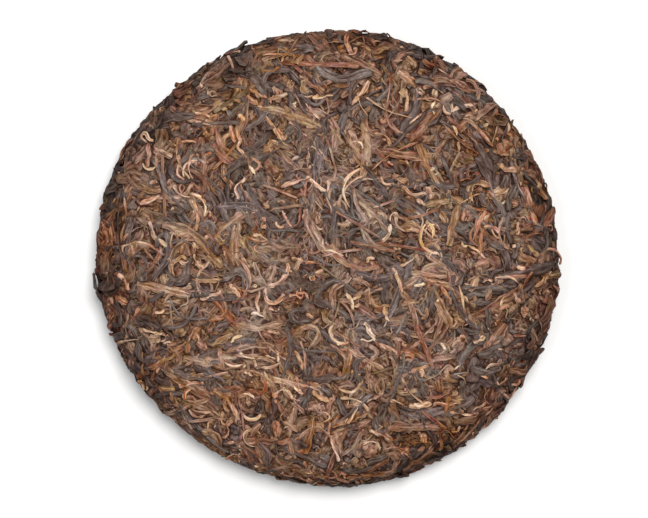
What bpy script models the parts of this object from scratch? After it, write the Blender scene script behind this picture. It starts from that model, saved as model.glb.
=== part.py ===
"""A raw pu-erh tea cake: whole twisted leaves, steamed in a cloth bag and pressed under a stone.

The cake lies on its back with the domed face up. Its origin is on the table under the middle of the cake,
+Y is the top of the face, and +Z is up. The knot of the cloth bag leaves the dimple in the back.
One solid: a turned core, with the leaves and stems that lie on it fused on.
"""

import math
import random

import bmesh
import bpy
from mathutils import Matrix, Vector, noise

MM = 0.001

# The form that the stone and the cloth bag give.
CAKE_RADIUS = 97.0 * MM
CROWN_HEIGHT = 24.0 * MM
RIM_HEIGHT = 9.5 * MM
DOME_POWER = 2.3
SHOULDER_POWER = 0.40
BACK_FLAT_SHARE = 0.86
DIMPLE_RADIUS = 26.0 * MM
DIMPLE_DEPTH = 9.0 * MM
DIMPLE_POWER = 2.5
DIMPLE_LIP_POWER = 1.3
MIDDLE = Vector((0.4 * MM, 0.2 * MM, 0.0))

# How far the rim is out of round: lobes round the cake, how deep they are, and the direction of the first,
# in degrees.
OUT_OF_ROUND = (
    (2, 0.90 * MM, -19.0),
    (3, 0.72 * MM, 58.7),
    (4, 0.24 * MM, -7.5),
    (5, 0.26 * MM, -11.4),
    (11, 0.23 * MM, -16.0),
)

# The core under the leaves.
LEAF_COVER = 0.7 * MM
CORE_RELIEF = 0.5 * MM
CORE_RELIEF_SIZE = 9.0 * MM
CORE_STEPS = 44
CORE_RINGS = (
    *(0.12, 0.24, 0.35, 0.42, 0.45, 0.47),
    *(0.483, 0.497, 0.512, 0.53, 0.555, 0.60),
    *(0.70, 0.80, 0.845, 0.875, 0.91, 0.955),
)
PROFILE_SAMPLES = 240
WELD = 0.01 * MM

# The leaves of the three zones: how many there are, and how far they lie from the middle of the face
# or of the back.
SEED = 357
GOLDEN_ANGLE = math.pi * (3.0 - math.sqrt(5.0))
FACE_LEAVES = 44
FACE_REACH = 92.0 * MM
RIM_LEAVES = 32
RIM_WALK = (98.0 * MM, 108.0 * MM)
RIM_SKEW = math.radians(32)
BACK_LEAVES = 26
BACK_REACH = 88.0 * MM
ANGLE_JITTER = 0.15

# A scattered leaf's least and greatest length, width, thickness and height over the surface, and its bend.
LEAF_LENGTH = (18.0 * MM, 36.0 * MM)
LEAF_WIDTH = (3.4 * MM, 6.4 * MM)
LEAF_THICKNESS = (1.5 * MM, 2.2 * MM)
LEAF_BEND = math.radians(40)
LEAF_LIFT = (-0.3 * MM, 0.3 * MM)
LEAF_SIDES = 4
LEAF_STATIONS = 4
TIP_SHARE = 0.35
BELLY_POWER = 0.6

# The pieces that stand out on the face: how many sides their section has, how thick it is for its width,
# and their height over the surface. Their line has a point for each stretch of millimetres or degrees.
MARK_SHAPE = {"leaf": (4, 0.42), "twist": (4, 0.75), "stem": (5, 0.85)}
MARK_LIFT = 0.3 * MM
MARK_STRETCH = 9.0
MARK_TURN = 30.0

# The leaf in the back whose pressed face the cake rests on: where it lies on the back's flat map, its length,
# width and thickness.
REST_LEAF = (56.0 * MM, 0.0, 30.0 * MM, 9.0 * MM, 2.4 * MM)
REST_LEAF_SIDES = 6

# The leaves and stems that stand out on the face: kind, x and y in millimetres from the middle of the face,
# heading and bend in degrees, length and width in millimetres.
FACE_MARKS = (
    ("stem", -13, 82, -4, 3, 48, 2.4),
    ("leaf", 2, 89, -40, 8, 27, 5.0),
    ("stem", -40, 68, 33, 0, 24, 2.0),
    ("leaf", -14, 59, -22, 10, 28, 4.4),
    ("leaf", -32, 47, 48, 0, 30, 4.2),
    ("leaf", -45, 45, -60, 0, 20, 6.2),
    ("twist", -83, 31, -45, 80, 26, 1.8),
    ("twist", -61, 38, -80, 40, 24, 2.2),
    ("twist", -54, 22, -52, -30, 20, 2.8),
    ("leaf", -62, 10, -35, -25, 28, 4.2),
    ("leaf", 35, 76, -35, 10, 14, 3.8),
    ("leaf", 11, 47, -70, 10, 16, 3.8),
    ("twist", 40, 60, 10, -130, 27, 2.4),
    ("twist", 27, 43, 28, 12, 30, 2.0),
    ("twist", 7, 28, -98, 62, 24, 2.0),
    ("stem", 13, 14, -33, 0, 22, 1.9),
    ("stem", 19, 5, -9, 0, 21, 2.0),
    ("leaf", 50, 25, 8, -30, 16, 5.4),
    ("leaf", 54, 14, -103, 0, 17, 3.2),
    ("leaf", 75, 47, 60, 0, 9, 6.5),
    ("leaf", 85, 31, -62, 0, 18, 5.4),
    ("leaf", 84, 20, -76, 0, 18, 4.2),
    ("leaf", 76, 19, -95, 15, 24, 3.0),
    ("leaf", 60, 49, -48, 6, 25, 3.2),
    ("leaf", -30, -28, 5, -14, 26, 3.2),
    ("leaf", -19, -41, -92, -14, 28, 3.8),
    ("twist", -21, -16, -12, 100, 20, 2.4),
    ("twist", -35, -10, -98, -40, 22, 1.9),
    ("leaf", -49, -58, -88, 0, 16, 6.5),
    ("leaf", -66, -38, 35, 0, 16, 5.4),
    ("leaf", -78, -51, -60, 75, 30, 4.4),
    ("leaf", -62, -51, 20, 0, 10, 6.5),
    ("leaf", -59, -58, -22, 0, 17, 3.4),
    ("leaf", 48, -21, -60, 0, 22, 3.8),
    ("stem", 40, -38, -66, 0, 16, 2.4),
    ("leaf", 42, -7, -3, 0, 17, 4.8),
    ("leaf", 71, -33, 52, 0, 15, 5.0),
    ("leaf", 73, -38, 15, 0, 24, 5.2),
    ("twist", 58, -26, -25, 60, 20, 2.8),
    ("leaf", 20, -68, 20, 0, 26, 7.0),
    ("leaf", 38, -73, 3, 0, 24, 3.4),
    ("leaf", 61, -68, 12, 0, 20, 3.6),
    ("twist", 36, -57, -50, 25, 16, 2.4),
    ("leaf", 39, -81, 25, 0, 16, 4.8),
    ("leaf", 18, -6, -10, 0, 22, 5.4),
)


def clear_scene():
    for old in list(bpy.data.objects):
        bpy.data.objects.remove(old)


def between(low, high, share):
    return low + (high - low) * share


def face_height(share):
    """Height of the domed face at a share of the cake's radius."""
    dome = max(0.0, 1.0 - share**DOME_POWER) ** SHOULDER_POWER
    return between(RIM_HEIGHT, CROWN_HEIGHT, dome)


def back_height(share):
    """Height of the back at a share of the cake's radius: the dimple, the flat ring and the turned-up rim."""
    radius = share * CAKE_RADIUS
    if radius < DIMPLE_RADIUS:
        bowl = 1.0 - (radius / DIMPLE_RADIUS) ** DIMPLE_POWER
        return DIMPLE_DEPTH * bowl**DIMPLE_LIP_POWER
    if share < BACK_FLAT_SHARE:
        return 0.0
    turn = (share - BACK_FLAT_SHARE) / (1.0 - BACK_FLAT_SHARE)
    return RIM_HEIGHT * (1.0 - math.sqrt(max(0.0, 1.0 - turn * turn)))


def section():
    """Points (radius, height) from the middle of the face, round the rim, to the middle of the back."""
    points = []
    for i in range(PROFILE_SAMPLES + 1):
        share = math.sin(0.5 * math.pi * i / PROFILE_SAMPLES)
        points.append((share * CAKE_RADIUS, face_height(share)))
    for i in reversed(range(PROFILE_SAMPLES)):
        share = math.sin(0.5 * math.pi * i / PROFILE_SAMPLES)
        points.append((share * CAKE_RADIUS, back_height(share)))
    return points


def walked(points):
    """How far along the section each of its points lies."""
    distances = [0.0]
    for (r0, z0), (r1, z1) in zip(points, points[1:]):
        distances.append(distances[-1] + math.hypot(r1 - r0, z1 - z0))
    return distances


SECTION = section()
WALKED = walked(SECTION)


def on_section(distance):
    """Radius, height and outward normal at a walk from the middle of the face."""
    distance = min(max(distance, 0.0), WALKED[-1])
    low, high = 0, len(WALKED) - 2
    while low < high:
        middle = (low + high + 1) // 2
        if WALKED[middle] <= distance:
            low = middle
        else:
            high = middle - 1
    (r0, z0), (r1, z1) = SECTION[low], SECTION[low + 1]
    share = (distance - WALKED[low]) / (WALKED[low + 1] - WALKED[low])
    run = Vector((r1 - r0, z1 - z0)).normalized()
    return between(r0, r1, share), between(z0, z1, share), (-run.y, run.x)


def out_of_round(radius, angle):
    """The radius with the rim's lobes, which fade towards the middle."""
    fade = (radius / CAKE_RADIUS) ** 2
    for count, depth, first in OUT_OF_ROUND:
        radius += fade * depth * math.cos(count * (angle - math.radians(first)))
    return radius


def on_cake(x, y, lift, from_back=False):
    """Place and outward normal for a point of a flat map, laid from the middle of the face or of the back."""
    walk = math.hypot(x, y)
    angle = math.atan2(y, x)
    radius, height, (out, up) = on_section(WALKED[-1] - walk if from_back else walk)
    normal = Vector((out * math.cos(angle), out * math.sin(angle), up))
    radius = out_of_round(radius, angle)
    place = Vector((radius * math.cos(angle), radius * math.sin(angle), height))
    return MIDDLE + place + normal * lift, normal


def finish_mesh(mesh, name, material):
    """Makes an object of a bmesh, of flat triangles that point out."""
    bmesh.ops.triangulate(mesh, faces=mesh.faces)
    bmesh.ops.recalc_face_normals(mesh, faces=mesh.faces)
    data = bpy.data.meshes.new(name)
    mesh.to_mesh(data)
    mesh.free()
    data.materials.append(material)
    made = bpy.data.objects.new(name, data)
    bpy.context.scene.collection.objects.link(made)
    return made


def tea_material():
    """Pressed dry leaf: dark warm brown and nearly matt."""
    material = bpy.data.materials.new("pressed_tea_leaf")
    material.use_nodes = True
    shader = material.node_tree.nodes["Principled BSDF"]
    shader.inputs["Base Color"].default_value = (0.115, 0.066, 0.043, 1.0)
    shader.inputs["Roughness"].default_value = 0.62
    shader.inputs["Metallic"].default_value = 0.0
    return material


def make_core(material):
    """The turned body under the leaves: the section spun round the axis, then made uneven."""
    mesh = bmesh.new()
    points = []
    for share in (0.0, *CORE_RINGS, 1.0):
        radius, height, (out, up) = on_section(share * WALKED[-1])
        points.append(mesh.verts.new((max(0.0, radius - out * LEAF_COVER), 0.0, height - up * LEAF_COVER)))
    edges = [mesh.edges.new(pair) for pair in zip(points, points[1:])]
    bmesh.ops.spin(
        mesh,
        geom=[*points, *edges],
        axis=(0.0, 0.0, 1.0),
        cent=(0.0, 0.0, 0.0),
        angle=2.0 * math.pi,
        steps=CORE_STEPS,
        use_merge=True,
    )
    bmesh.ops.remove_doubles(mesh, verts=mesh.verts, dist=WELD)
    for vert in mesh.verts:
        radius = math.hypot(vert.co.x, vert.co.y)
        if radius > MM:
            swell = out_of_round(radius, math.atan2(vert.co.y, vert.co.x)) / radius
            vert.co.x *= swell
            vert.co.y *= swell
        vert.co *= 1.0 + CORE_RELIEF * noise.noise(vert.co / CORE_RELIEF_SIZE) / CAKE_RADIUS
        vert.co += MIDDLE
    return finish_mesh(mesh, "tea_cake", material)


def spine(x, y, heading, bend, length, stations):
    """Points of a bent line on the flat map, round the middle point (x, y)."""
    step = length / (stations - 1)
    points = [Vector((0.0, 0.0))]
    for i in range(stations - 1):
        turned = heading + bend * ((i + 0.5) / (stations - 1) - 0.5)
        points.append(points[-1] + step * Vector((math.cos(turned), math.sin(turned))))
    middle = points[stations // 2]
    return [Vector((x, y)) + point - middle for point in points]


def leaf_outline(kind, share):
    """How wide a piece is along its length, as a share of its full width."""
    if kind == "stem":
        return 1.0
    belly = math.sin(math.pi * between(0.10, 0.90, share))
    return max(TIP_SHARE, belly**BELLY_POWER)


def make_leaf(kind, line, width, thickness, lift, sides, material, from_back=False):
    """One leaf or stem: a flattened section carried along its line on the cake, closed at both ends."""
    places = [on_cake(point.x, point.y, lift, from_back) for point in line]
    mesh = bmesh.new()
    ring = bmesh.ops.create_circle(mesh, segments=sides, radius=1.0)["verts"]
    edges = list({edge for vert in ring for edge in vert.link_edges})
    start = edges
    was = Matrix.Identity(4)
    for i, (place, normal) in enumerate(places):
        ahead = places[min(i + 1, len(places) - 1)][0] - places[max(i - 1, 0)][0]
        along = (ahead - normal * ahead.dot(normal)).normalized()
        across = normal.cross(along)
        half = 0.5 * leaf_outline(kind, i / (len(places) - 1))
        now = Matrix((across * width * half, normal * thickness * half, along)).transposed().to_4x4()
        now.translation = place
        if i > 0:
            grown = bmesh.ops.extrude_edge_only(mesh, edges=edges)["geom"]
            ring = [item for item in grown if isinstance(item, bmesh.types.BMVert)]
            edges = [item for item in grown if isinstance(item, bmesh.types.BMEdge)]
            edges = [edge for edge in edges if edge.verts[0] in ring and edge.verts[1] in ring]
        bmesh.ops.transform(mesh, matrix=now @ was.inverted(), verts=ring)
        was = now
    for vert in mesh.verts:
        vert.co.z = max(vert.co.z, 0.0)
    bmesh.ops.holes_fill(mesh, edges=[*start, *edges], sides=sides)
    return finish_mesh(mesh, kind, material)


def scattered_leaf(draw, walk, angle, heading, bend, material, from_back=False):
    """One leaf of a drawn size, at a walk and a direction from the middle of the face or of the back."""
    length = between(*LEAF_LENGTH, draw.random())
    width = between(*LEAF_WIDTH, draw.random())
    thickness = between(*LEAF_THICKNESS, draw.random())
    lift = between(*LEAF_LIFT, draw.random())
    line = spine(walk * math.cos(angle), walk * math.sin(angle), heading, bend, length, LEAF_STATIONS)
    return make_leaf("leaf", line, width, thickness, lift, LEAF_SIDES, material, from_back)


def spiral_leaves(draw, count, reach, material, from_back=False):
    """Leaves spread evenly over the face or the back along a spiral, each lying its own way."""
    made = []
    for i in range(count):
        walk = reach * math.sqrt((i + 0.5) / count)
        angle = i * GOLDEN_ANGLE + draw.uniform(-ANGLE_JITTER, ANGLE_JITTER)
        heading = draw.uniform(0.0, 2.0 * math.pi)
        bend = draw.gauss(0.0, 1.0) * LEAF_BEND
        made.append(scattered_leaf(draw, walk, angle, heading, bend, material, from_back))
    return made


def rim_leaves(draw, material):
    """Leaves that follow the rim, each a little askew."""
    made = []
    for i in range(RIM_LEAVES):
        walk = draw.uniform(*RIM_WALK)
        angle = 2.0 * math.pi * i / RIM_LEAVES + draw.uniform(-ANGLE_JITTER, ANGLE_JITTER)
        heading = angle + 0.5 * math.pi + draw.uniform(-RIM_SKEW, RIM_SKEW)
        bend = between(*LEAF_LENGTH, 0.5) / walk
        made.append(scattered_leaf(draw, walk, angle, heading, bend, material))
    return made


def face_marks(material):
    """The leaves and stems that stand out on the face, a little proud of the others."""
    made = []
    for kind, x, y, heading, bend, length, width in FACE_MARKS:
        sides, flatness = MARK_SHAPE[kind]
        stations = 2 + max(round(length / MARK_STRETCH), round(abs(bend) / MARK_TURN))
        line = spine(x * MM, y * MM, math.radians(heading), math.radians(bend), length * MM, stations)
        made.append(make_leaf(kind, line, width * MM, width * MM * flatness, MARK_LIFT, sides, material))
    return made


def rest_leaf(material):
    """The broad leaf in the back whose pressed underside is the flat face that the cake rests on."""
    x, y, length, width, thickness = REST_LEAF
    line = spine(x, y, 0.5 * math.pi, 0.0, length, LEAF_STATIONS)
    return make_leaf("leaf", line, width, thickness, 0.0, REST_LEAF_SIDES, material, from_back=True)


def fuse(core, leaves):
    """One Boolean union of the core with every leaf."""
    heap = bpy.data.collections.new("loose_leaves")
    bpy.context.scene.collection.children.link(heap)
    for leaf in leaves:
        bpy.context.scene.collection.objects.unlink(leaf)
        heap.objects.link(leaf)
    union = core.modifiers.new("union", "BOOLEAN")
    union.operation = "UNION"
    union.solver = "EXACT"
    union.operand_type = "COLLECTION"
    union.collection = heap
    graph = bpy.context.evaluated_depsgraph_get()
    fused = bpy.data.meshes.new_from_object(core.evaluated_get(graph))
    core.modifiers.remove(union)
    core.data = fused
    for leaf in leaves:
        bpy.data.objects.remove(leaf)
    bpy.data.collections.remove(heap)


def keep_largest_piece(body):
    """Drops loose scraps and fills what the fusing sealed in: only the outermost shell stays."""
    mesh = bmesh.new()
    mesh.from_mesh(body.data)
    unseen = set(mesh.verts)
    shells = []
    while unseen:
        shell, front = set(), [unseen.pop()]
        while front:
            vert = front.pop()
            shell.add(vert)
            near = [edge.other_vert(vert) for edge in vert.link_edges]
            front.extend(other for other in near if other in unseen)
            unseen.difference_update(near)
        shells.append(shell)
    largest = max(shells, key=len)
    bmesh.ops.delete(mesh, geom=[vert for vert in mesh.verts if vert not in largest], context="VERTS")
    mesh.to_mesh(body.data)
    mesh.free()


def main():
    clear_scene()
    draw = random.Random(SEED)
    material = tea_material()
    core = make_core(material)
    leaves = [rest_leaf(material), *face_marks(material)]
    leaves += spiral_leaves(draw, FACE_LEAVES, FACE_REACH, material)
    leaves += rim_leaves(draw, material)
    leaves += spiral_leaves(draw, BACK_LEAVES, BACK_REACH, material, from_back=True)
    fuse(core, leaves)
    keep_largest_piece(core)


main()
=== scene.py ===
"""A raw pu-erh tea cake, lying on its back with the domed face up.

The cake is a pressed heap of whole tea leaves. A dark core carries several thousand pieces: folded,
crumpled and rolled leaves, buds, stems, fibres, shreds and crumbs. Each piece is a bent line on a flat
map of the cake, with a section carried along it. The pieces are laid one after the other, each over those
that lie there, and pressed.
"""

import math
import random
from collections import namedtuple

import bmesh
import bpy
import numpy as np
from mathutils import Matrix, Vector, noise


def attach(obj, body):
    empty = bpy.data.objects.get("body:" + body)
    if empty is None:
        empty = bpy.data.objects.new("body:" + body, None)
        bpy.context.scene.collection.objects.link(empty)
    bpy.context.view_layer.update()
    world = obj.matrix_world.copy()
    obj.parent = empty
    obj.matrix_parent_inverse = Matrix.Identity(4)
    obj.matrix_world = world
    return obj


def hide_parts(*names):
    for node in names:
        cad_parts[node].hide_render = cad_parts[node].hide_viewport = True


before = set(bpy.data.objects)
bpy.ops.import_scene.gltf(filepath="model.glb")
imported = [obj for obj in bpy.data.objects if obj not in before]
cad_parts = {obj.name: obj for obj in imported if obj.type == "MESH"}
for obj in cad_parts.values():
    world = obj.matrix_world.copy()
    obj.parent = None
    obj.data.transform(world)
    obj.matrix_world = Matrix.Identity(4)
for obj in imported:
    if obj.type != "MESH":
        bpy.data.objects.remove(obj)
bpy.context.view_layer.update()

MM = 0.001

# The form of the cake, as the solid has it.
CAKE_RADIUS = 97.0 * MM
CROWN_HEIGHT = 24.0 * MM
RIM_HEIGHT = 9.5 * MM
DOME_POWER = 2.3
SHOULDER_POWER = 0.40
BACK_FLAT_SHARE = 0.86
DIMPLE_RADIUS = 26.0 * MM
DIMPLE_DEPTH = 9.0 * MM
DIMPLE_POWER = 2.5
DIMPLE_LIP_POWER = 1.3
MIDDLE = (0.4 * MM, 0.2 * MM, 0.0)
PROFILE_SAMPLES = 240

# Waves of the outline: how many go round, how deep they are, and where the first crest is, in degrees.
OUT_OF_ROUND = (
    (2, 0.90 * MM, -19.0),
    (3, 0.72 * MM, 58.7),
    (4, 0.24 * MM, -7.5),
    (5, 0.26 * MM, -11.4),
    (11, 0.23 * MM, -16.0),
)

# The broad leaves that the solid carries too, by the same rule and the same draws.
SEED = 357
GOLDEN_ANGLE = math.pi * (3.0 - math.sqrt(5.0))
FACE_LEAVES = 44
FACE_REACH = 92.0 * MM
RIM_LEAVES = 32
RIM_WALK = (98.0 * MM, 108.0 * MM)
RIM_SKEW = math.radians(32)
BACK_LEAVES = 26
BACK_REACH = 88.0 * MM
ANGLE_JITTER = 0.15
LEAF_LENGTH = (18.0 * MM, 36.0 * MM)
LEAF_WIDTH = (3.4 * MM, 6.4 * MM)
LEAF_BEND = math.radians(40)
BROAD_TURN = (0.45, 0.8)
BROAD_SORTS = (
    "dark_folded_leaves", "brown_folded_leaves", "rust_folded_leaves", "golden_folded_leaves",
)
BROAD_SHARES = (0.38, 0.38, 0.12, 0.12)

# The heap: how deep its core lies, and the grid over the flat map that keeps its height.
CORE_DEPTH = 1.1 * MM
GRID_PITCH = 0.4 * MM
GRID_REACH = 116.0 * MM
GRID_SIZE = int(2.0 * GRID_REACH / GRID_PITCH)

# How high pieces are pressed, from the first laid to the last. The middle of the face is pressed hardest,
# and the face swells a little. What would reach below the stone under it is squeezed into a thin layer.
FACE_CEILING = (0.15 * MM, 1.05 * MM)
BACK_CEILING = (-0.45 * MM, -0.02 * MM)
MIDDLE_PRESS = 0.55
CEILING_SWELL = 0.25 * MM
CEILING_SWELL_SIZE = 11.0 * MM
PRESS_SOFTNESS = 0.15 * MM
STONE_LAYER = 0.15 * MM

# Towards the rim the leaves are looser: the surface is rough, and one end of a stiff piece may stand off.
LOOSE_FROM = 50.0 * MM
RIM_STARTS = 90.0 * MM
RIM_SWELL = 1.4 * MM
RIM_SWELL_SIZE = 2.6 * MM
RIM_DROP = 0.3 * MM
END_STANDS_OFF = 2.3 * MM
END_SHARE = 0.45
STIFF_WIDTH = 2.4 * MM

# How a piece lies: how much of its height it adds to the heap, how far it follows the highest point under
# it and not the mean, how wide it feels for them, and the weights that smooth its line, as it is stiff. The
# last quarter dips at each end.
SIT = 0.70
ON_HIGHEST = 0.6
FEELS = 0.7
STIFFNESS = np.array([1, 2, 3, 2, 1]) / 9.0
DIP_SHARE = 0.25

# What all sections share: how far the narrowing ends vary in length and how much thicker they are, how many
# waves the edges have, how far the folds wander, the level between ridge and crease, and how far the edges
# curl up for the thickness. Half of the pieces that can twist do.
TAPER_VARIES = (0.7, 1.3)
END_THICKER = 0.3
EDGE_WAVES = 2.2
FOLDS_WANDER = 0.35
FOLD_LEVEL = 1.3
EDGES_UP = (-0.2, 0.9)
TWISTED_SHARE = 0.5

# Where the seeded pieces lie: how far out on each side's map, how many of some shapes go to the rim, how
# many places each one tries for the lowest, and the flow that neighbours share.
FACE_EDGE = 108.5 * MM
BACK_EDGE = 97.0 * MM
RIM_SHARE = 0.30
RIM_SHAPES = ("folded", "rolled", "shred")
TRIES = 3
FLOW_SIZE = 26.0 * MM
FLOW_SPREAD = math.radians(38)

# Most of them are short and narrow for their sort, and waver by about half of its bend. At the rim they are
# longer, and lie along it about as closely as the broad leaves.
LENGTH_POWER = 1.6
WIDTH_POWER = 1.3
SWAY_SHARE = 0.5
RIM_LONGER = 1.3
RIM_SKEW_SHARE = 0.6

# A piece is left out as buried unless this share of it lies less than this far under the top of the heap.
SHOWN_SHARE = 0.08
BURIED_BELOW = 0.25 * MM

# Round a point, the heap's height is read this far off, in so many ways, to tell how narrow a gap it is in,
# which sets the painted shade there.
GAP_PROBES = ((0.7 * MM, 6), (1.5 * MM, 8))

# What each shape of piece is.
# stations: points along it.
# over, under: points of its section above and below.
# flatness: thickness for its width.
# folds, fold_depth, drift: folds side by side, their depth for the thickness, and how far they wander.
# roll: how far the section rocks, in degrees.
# twist: turns of the section along it.
# tips, taper: width of its ends for its width, and the share of its length that narrows to each.
# edge: how uneven its edges are.
# sink: how far its ends dip.
Shape = namedtuple(
    "Shape",
    "stations over under flatness folds fold_depth drift roll twist tips taper edge sink",
)
SHAPES = {
    "folded": Shape(
        stations=12, over=9, under=2, flatness=(0.22, 0.36), folds=(1.0, 2.4), fold_depth=0.55, drift=0.8,
        roll=14, twist=(0.0, 0.0), tips=(0.35, 0.9), taper=0.22, edge=0.26, sink=(0.6 * MM, 1.8 * MM),
    ),
    "rolled": Shape(
        stations=12, over=6, under=1, flatness=(0.34, 0.62), folds=(1.0, 1.8), fold_depth=0.45, drift=1.0,
        roll=25, twist=(0.0, 0.6), tips=(0.35, 0.9), taper=0.20, edge=0.20, sink=(0.3 * MM, 1.6 * MM),
    ),
    "bud": Shape(
        stations=11, over=5, under=1, flatness=(0.50, 0.75), folds=(1.0, 1.6), fold_depth=0.25, drift=0.6,
        roll=25, twist=(0.0, 0.5), tips=(0.20, 0.5), taper=0.35, edge=0.08, sink=(0.0 * MM, 0.4 * MM),
    ),
    "stem": Shape(
        stations=8, over=5, under=1, flatness=(0.75, 0.95), folds=(1.0, 1.5), fold_depth=0.12, drift=0.2,
        roll=10, twist=(0.0, 0.0), tips=(0.80, 1.0), taper=0.08, edge=0.05, sink=(0.0 * MM, 0.6 * MM),
    ),
    "fibre": Shape(
        stations=9, over=3, under=1, flatness=(0.70, 0.90), folds=(1.0, 1.0), fold_depth=0.0, drift=0.0,
        roll=10, twist=(0.0, 0.0), tips=(0.50, 0.9), taper=0.20, edge=0.05, sink=(0.0 * MM, 0.5 * MM),
    ),
    "crumpled": Shape(
        stations=8, over=8, under=1, flatness=(0.10, 0.18), folds=(1.6, 3.6), fold_depth=1.2, drift=1.2,
        roll=8, twist=(0.0, 0.0), tips=(0.30, 0.8), taper=0.35, edge=0.35, sink=(0.0 * MM, 0.8 * MM),
    ),
    "shred": Shape(
        stations=6, over=4, under=1, flatness=(0.25, 0.60), folds=(1.0, 2.0), fold_depth=0.50, drift=0.6,
        roll=30, twist=(0.0, 0.3), tips=(0.20, 0.9), taper=0.30, edge=0.26, sink=(0.0 * MM, 0.4 * MM),
    ),
    "crumb": Shape(
        stations=4, over=4, under=1, flatness=(0.50, 0.80), folds=(1.0, 2.0), fold_depth=0.30, drift=0.5,
        roll=30, twist=(0.0, 0.0), tips=(0.40, 0.8), taper=0.40, edge=0.25, sink=(0.0 * MM, 0.2 * MM),
    ),
}

# What each sort of piece is: its shape and material, how many lie on the face and on the back, their least
# and greatest length and width, how much they bend, in degrees, and when they are laid, from 0 to 1.
Sort = namedtuple("Sort", "shape finish face back length width bend turn")
SORTS = {
    "dark_folded_leaves": Sort(
        "folded", "dark_leaf", 110, 60, (10 * MM, 32 * MM), (2.4 * MM, 5.0 * MM), 55, (0.3, 0.85)
    ),
    "brown_folded_leaves": Sort(
        "folded", "brown_leaf", 110, 60, (8 * MM, 26 * MM), (2.2 * MM, 4.8 * MM), 55, (0.3, 0.85)
    ),
    "rust_folded_leaves": Sort(
        "folded", "rust_leaf", 24, 14, (6 * MM, 18 * MM), (2.0 * MM, 4.0 * MM), 55, (0.3, 0.85)
    ),
    "golden_folded_leaves": Sort(
        "folded", "golden_leaf", 30, 16, (6 * MM, 18 * MM), (2.0 * MM, 4.0 * MM), 55, (0.3, 0.85)
    ),
    "dark_crumpled_leaves": Sort(
        "crumpled", "dark_pressed_leaf", 430, 200, (6 * MM, 16 * MM), (3.5 * MM, 9.0 * MM), 30, (0.0, 0.55)
    ),
    "brown_crumpled_leaves": Sort(
        "crumpled", "brown_pressed_leaf", 760, 380, (5 * MM, 15 * MM), (3.0 * MM, 8.5 * MM), 30, (0.0, 0.6)
    ),
    "rust_crumpled_leaves": Sort(
        "crumpled", "rust_leaf", 45, 25, (3 * MM, 9 * MM), (2.0 * MM, 5.0 * MM), 30, (0.1, 0.7)
    ),
    "golden_crumpled_leaves": Sort(
        "crumpled", "golden_leaf", 90, 45, (3 * MM, 9 * MM), (2.0 * MM, 5.0 * MM), 30, (0.1, 0.7)
    ),
    "dark_rolled_leaves": Sort(
        "rolled", "dark_leaf", 170, 90, (7 * MM, 30 * MM), (1.6 * MM, 3.4 * MM), 80, (0.35, 0.88)
    ),
    "brown_rolled_leaves": Sort(
        "rolled", "brown_leaf", 240, 130, (6 * MM, 24 * MM), (1.3 * MM, 3.0 * MM), 80, (0.2, 0.85)
    ),
    "rust_rolled_leaves": Sort(
        "rolled", "rust_leaf", 90, 50, (5 * MM, 18 * MM), (1.0 * MM, 2.4 * MM), 85, (0.3, 0.88)
    ),
    "tan_rolled_leaves": Sort(
        "rolled", "tan_leaf", 130, 70, (4 * MM, 15 * MM), (1.0 * MM, 2.2 * MM), 110, (0.5, 0.9)
    ),
    "pale_buds": Sort(
        "bud", "downy_bud", 24, 18, (3 * MM, 9 * MM), (0.8 * MM, 1.6 * MM), 90, (0.5, 0.9)
    ),
    "red_stems": Sort(
        "stem", "red_stalk", 22, 14, (8 * MM, 24 * MM), (0.9 * MM, 1.8 * MM), 8, (0.4, 0.9)
    ),
    "olive_stems": Sort(
        "stem", "olive_stalk", 22, 14, (8 * MM, 22 * MM), (0.8 * MM, 1.8 * MM), 14, (0.3, 0.9)
    ),
    "fibres": Sort(
        "fibre", "fibre", 150, 80, (4 * MM, 14 * MM), (0.4 * MM, 0.8 * MM), 90, (0.3, 0.9)
    ),
    "dark_shreds": Sort(
        "shred", "dark_leaf", 120, 70, (2 * MM, 8 * MM), (0.7 * MM, 2.2 * MM), 50, (0.2, 0.85)
    ),
    "brown_shreds": Sort(
        "shred", "brown_leaf", 200, 120, (2 * MM, 8 * MM), (0.6 * MM, 2.2 * MM), 50, (0.2, 0.85)
    ),
    "rust_shreds": Sort(
        "shred", "rust_leaf", 110, 70, (2 * MM, 6 * MM), (0.5 * MM, 1.8 * MM), 50, (0.2, 0.88)
    ),
    "tan_shreds": Sort(
        "shred", "tan_leaf", 260, 140, (1.5 * MM, 5 * MM), (0.5 * MM, 1.5 * MM), 60, (0.2, 0.92)
    ),
    "pale_crumbs": Sort(
        "crumb", "pale_crumb", 120, 60, (0.5 * MM, 1.3 * MM), (0.4 * MM, 0.8 * MM), 10, (0.4, 1.0)
    ),
}

# The camera is straight above the face, as far off as the cake's size in the picture asks.
PICTURE_WIDTH_PIXELS = 648
CAKE_ACROSS_PIXELS = 458.0
CAKE_ACROSS = 195.0 * MM
AIM = (-2.1 * MM, -0.7 * MM)
LENS = 85.0
SENSOR = 36.0
CAMERA_DISTANCE = PICTURE_WIDTH_PIXELS / CAKE_ACROSS_PIXELS * CAKE_ACROSS * LENS / SENSOR

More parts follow.
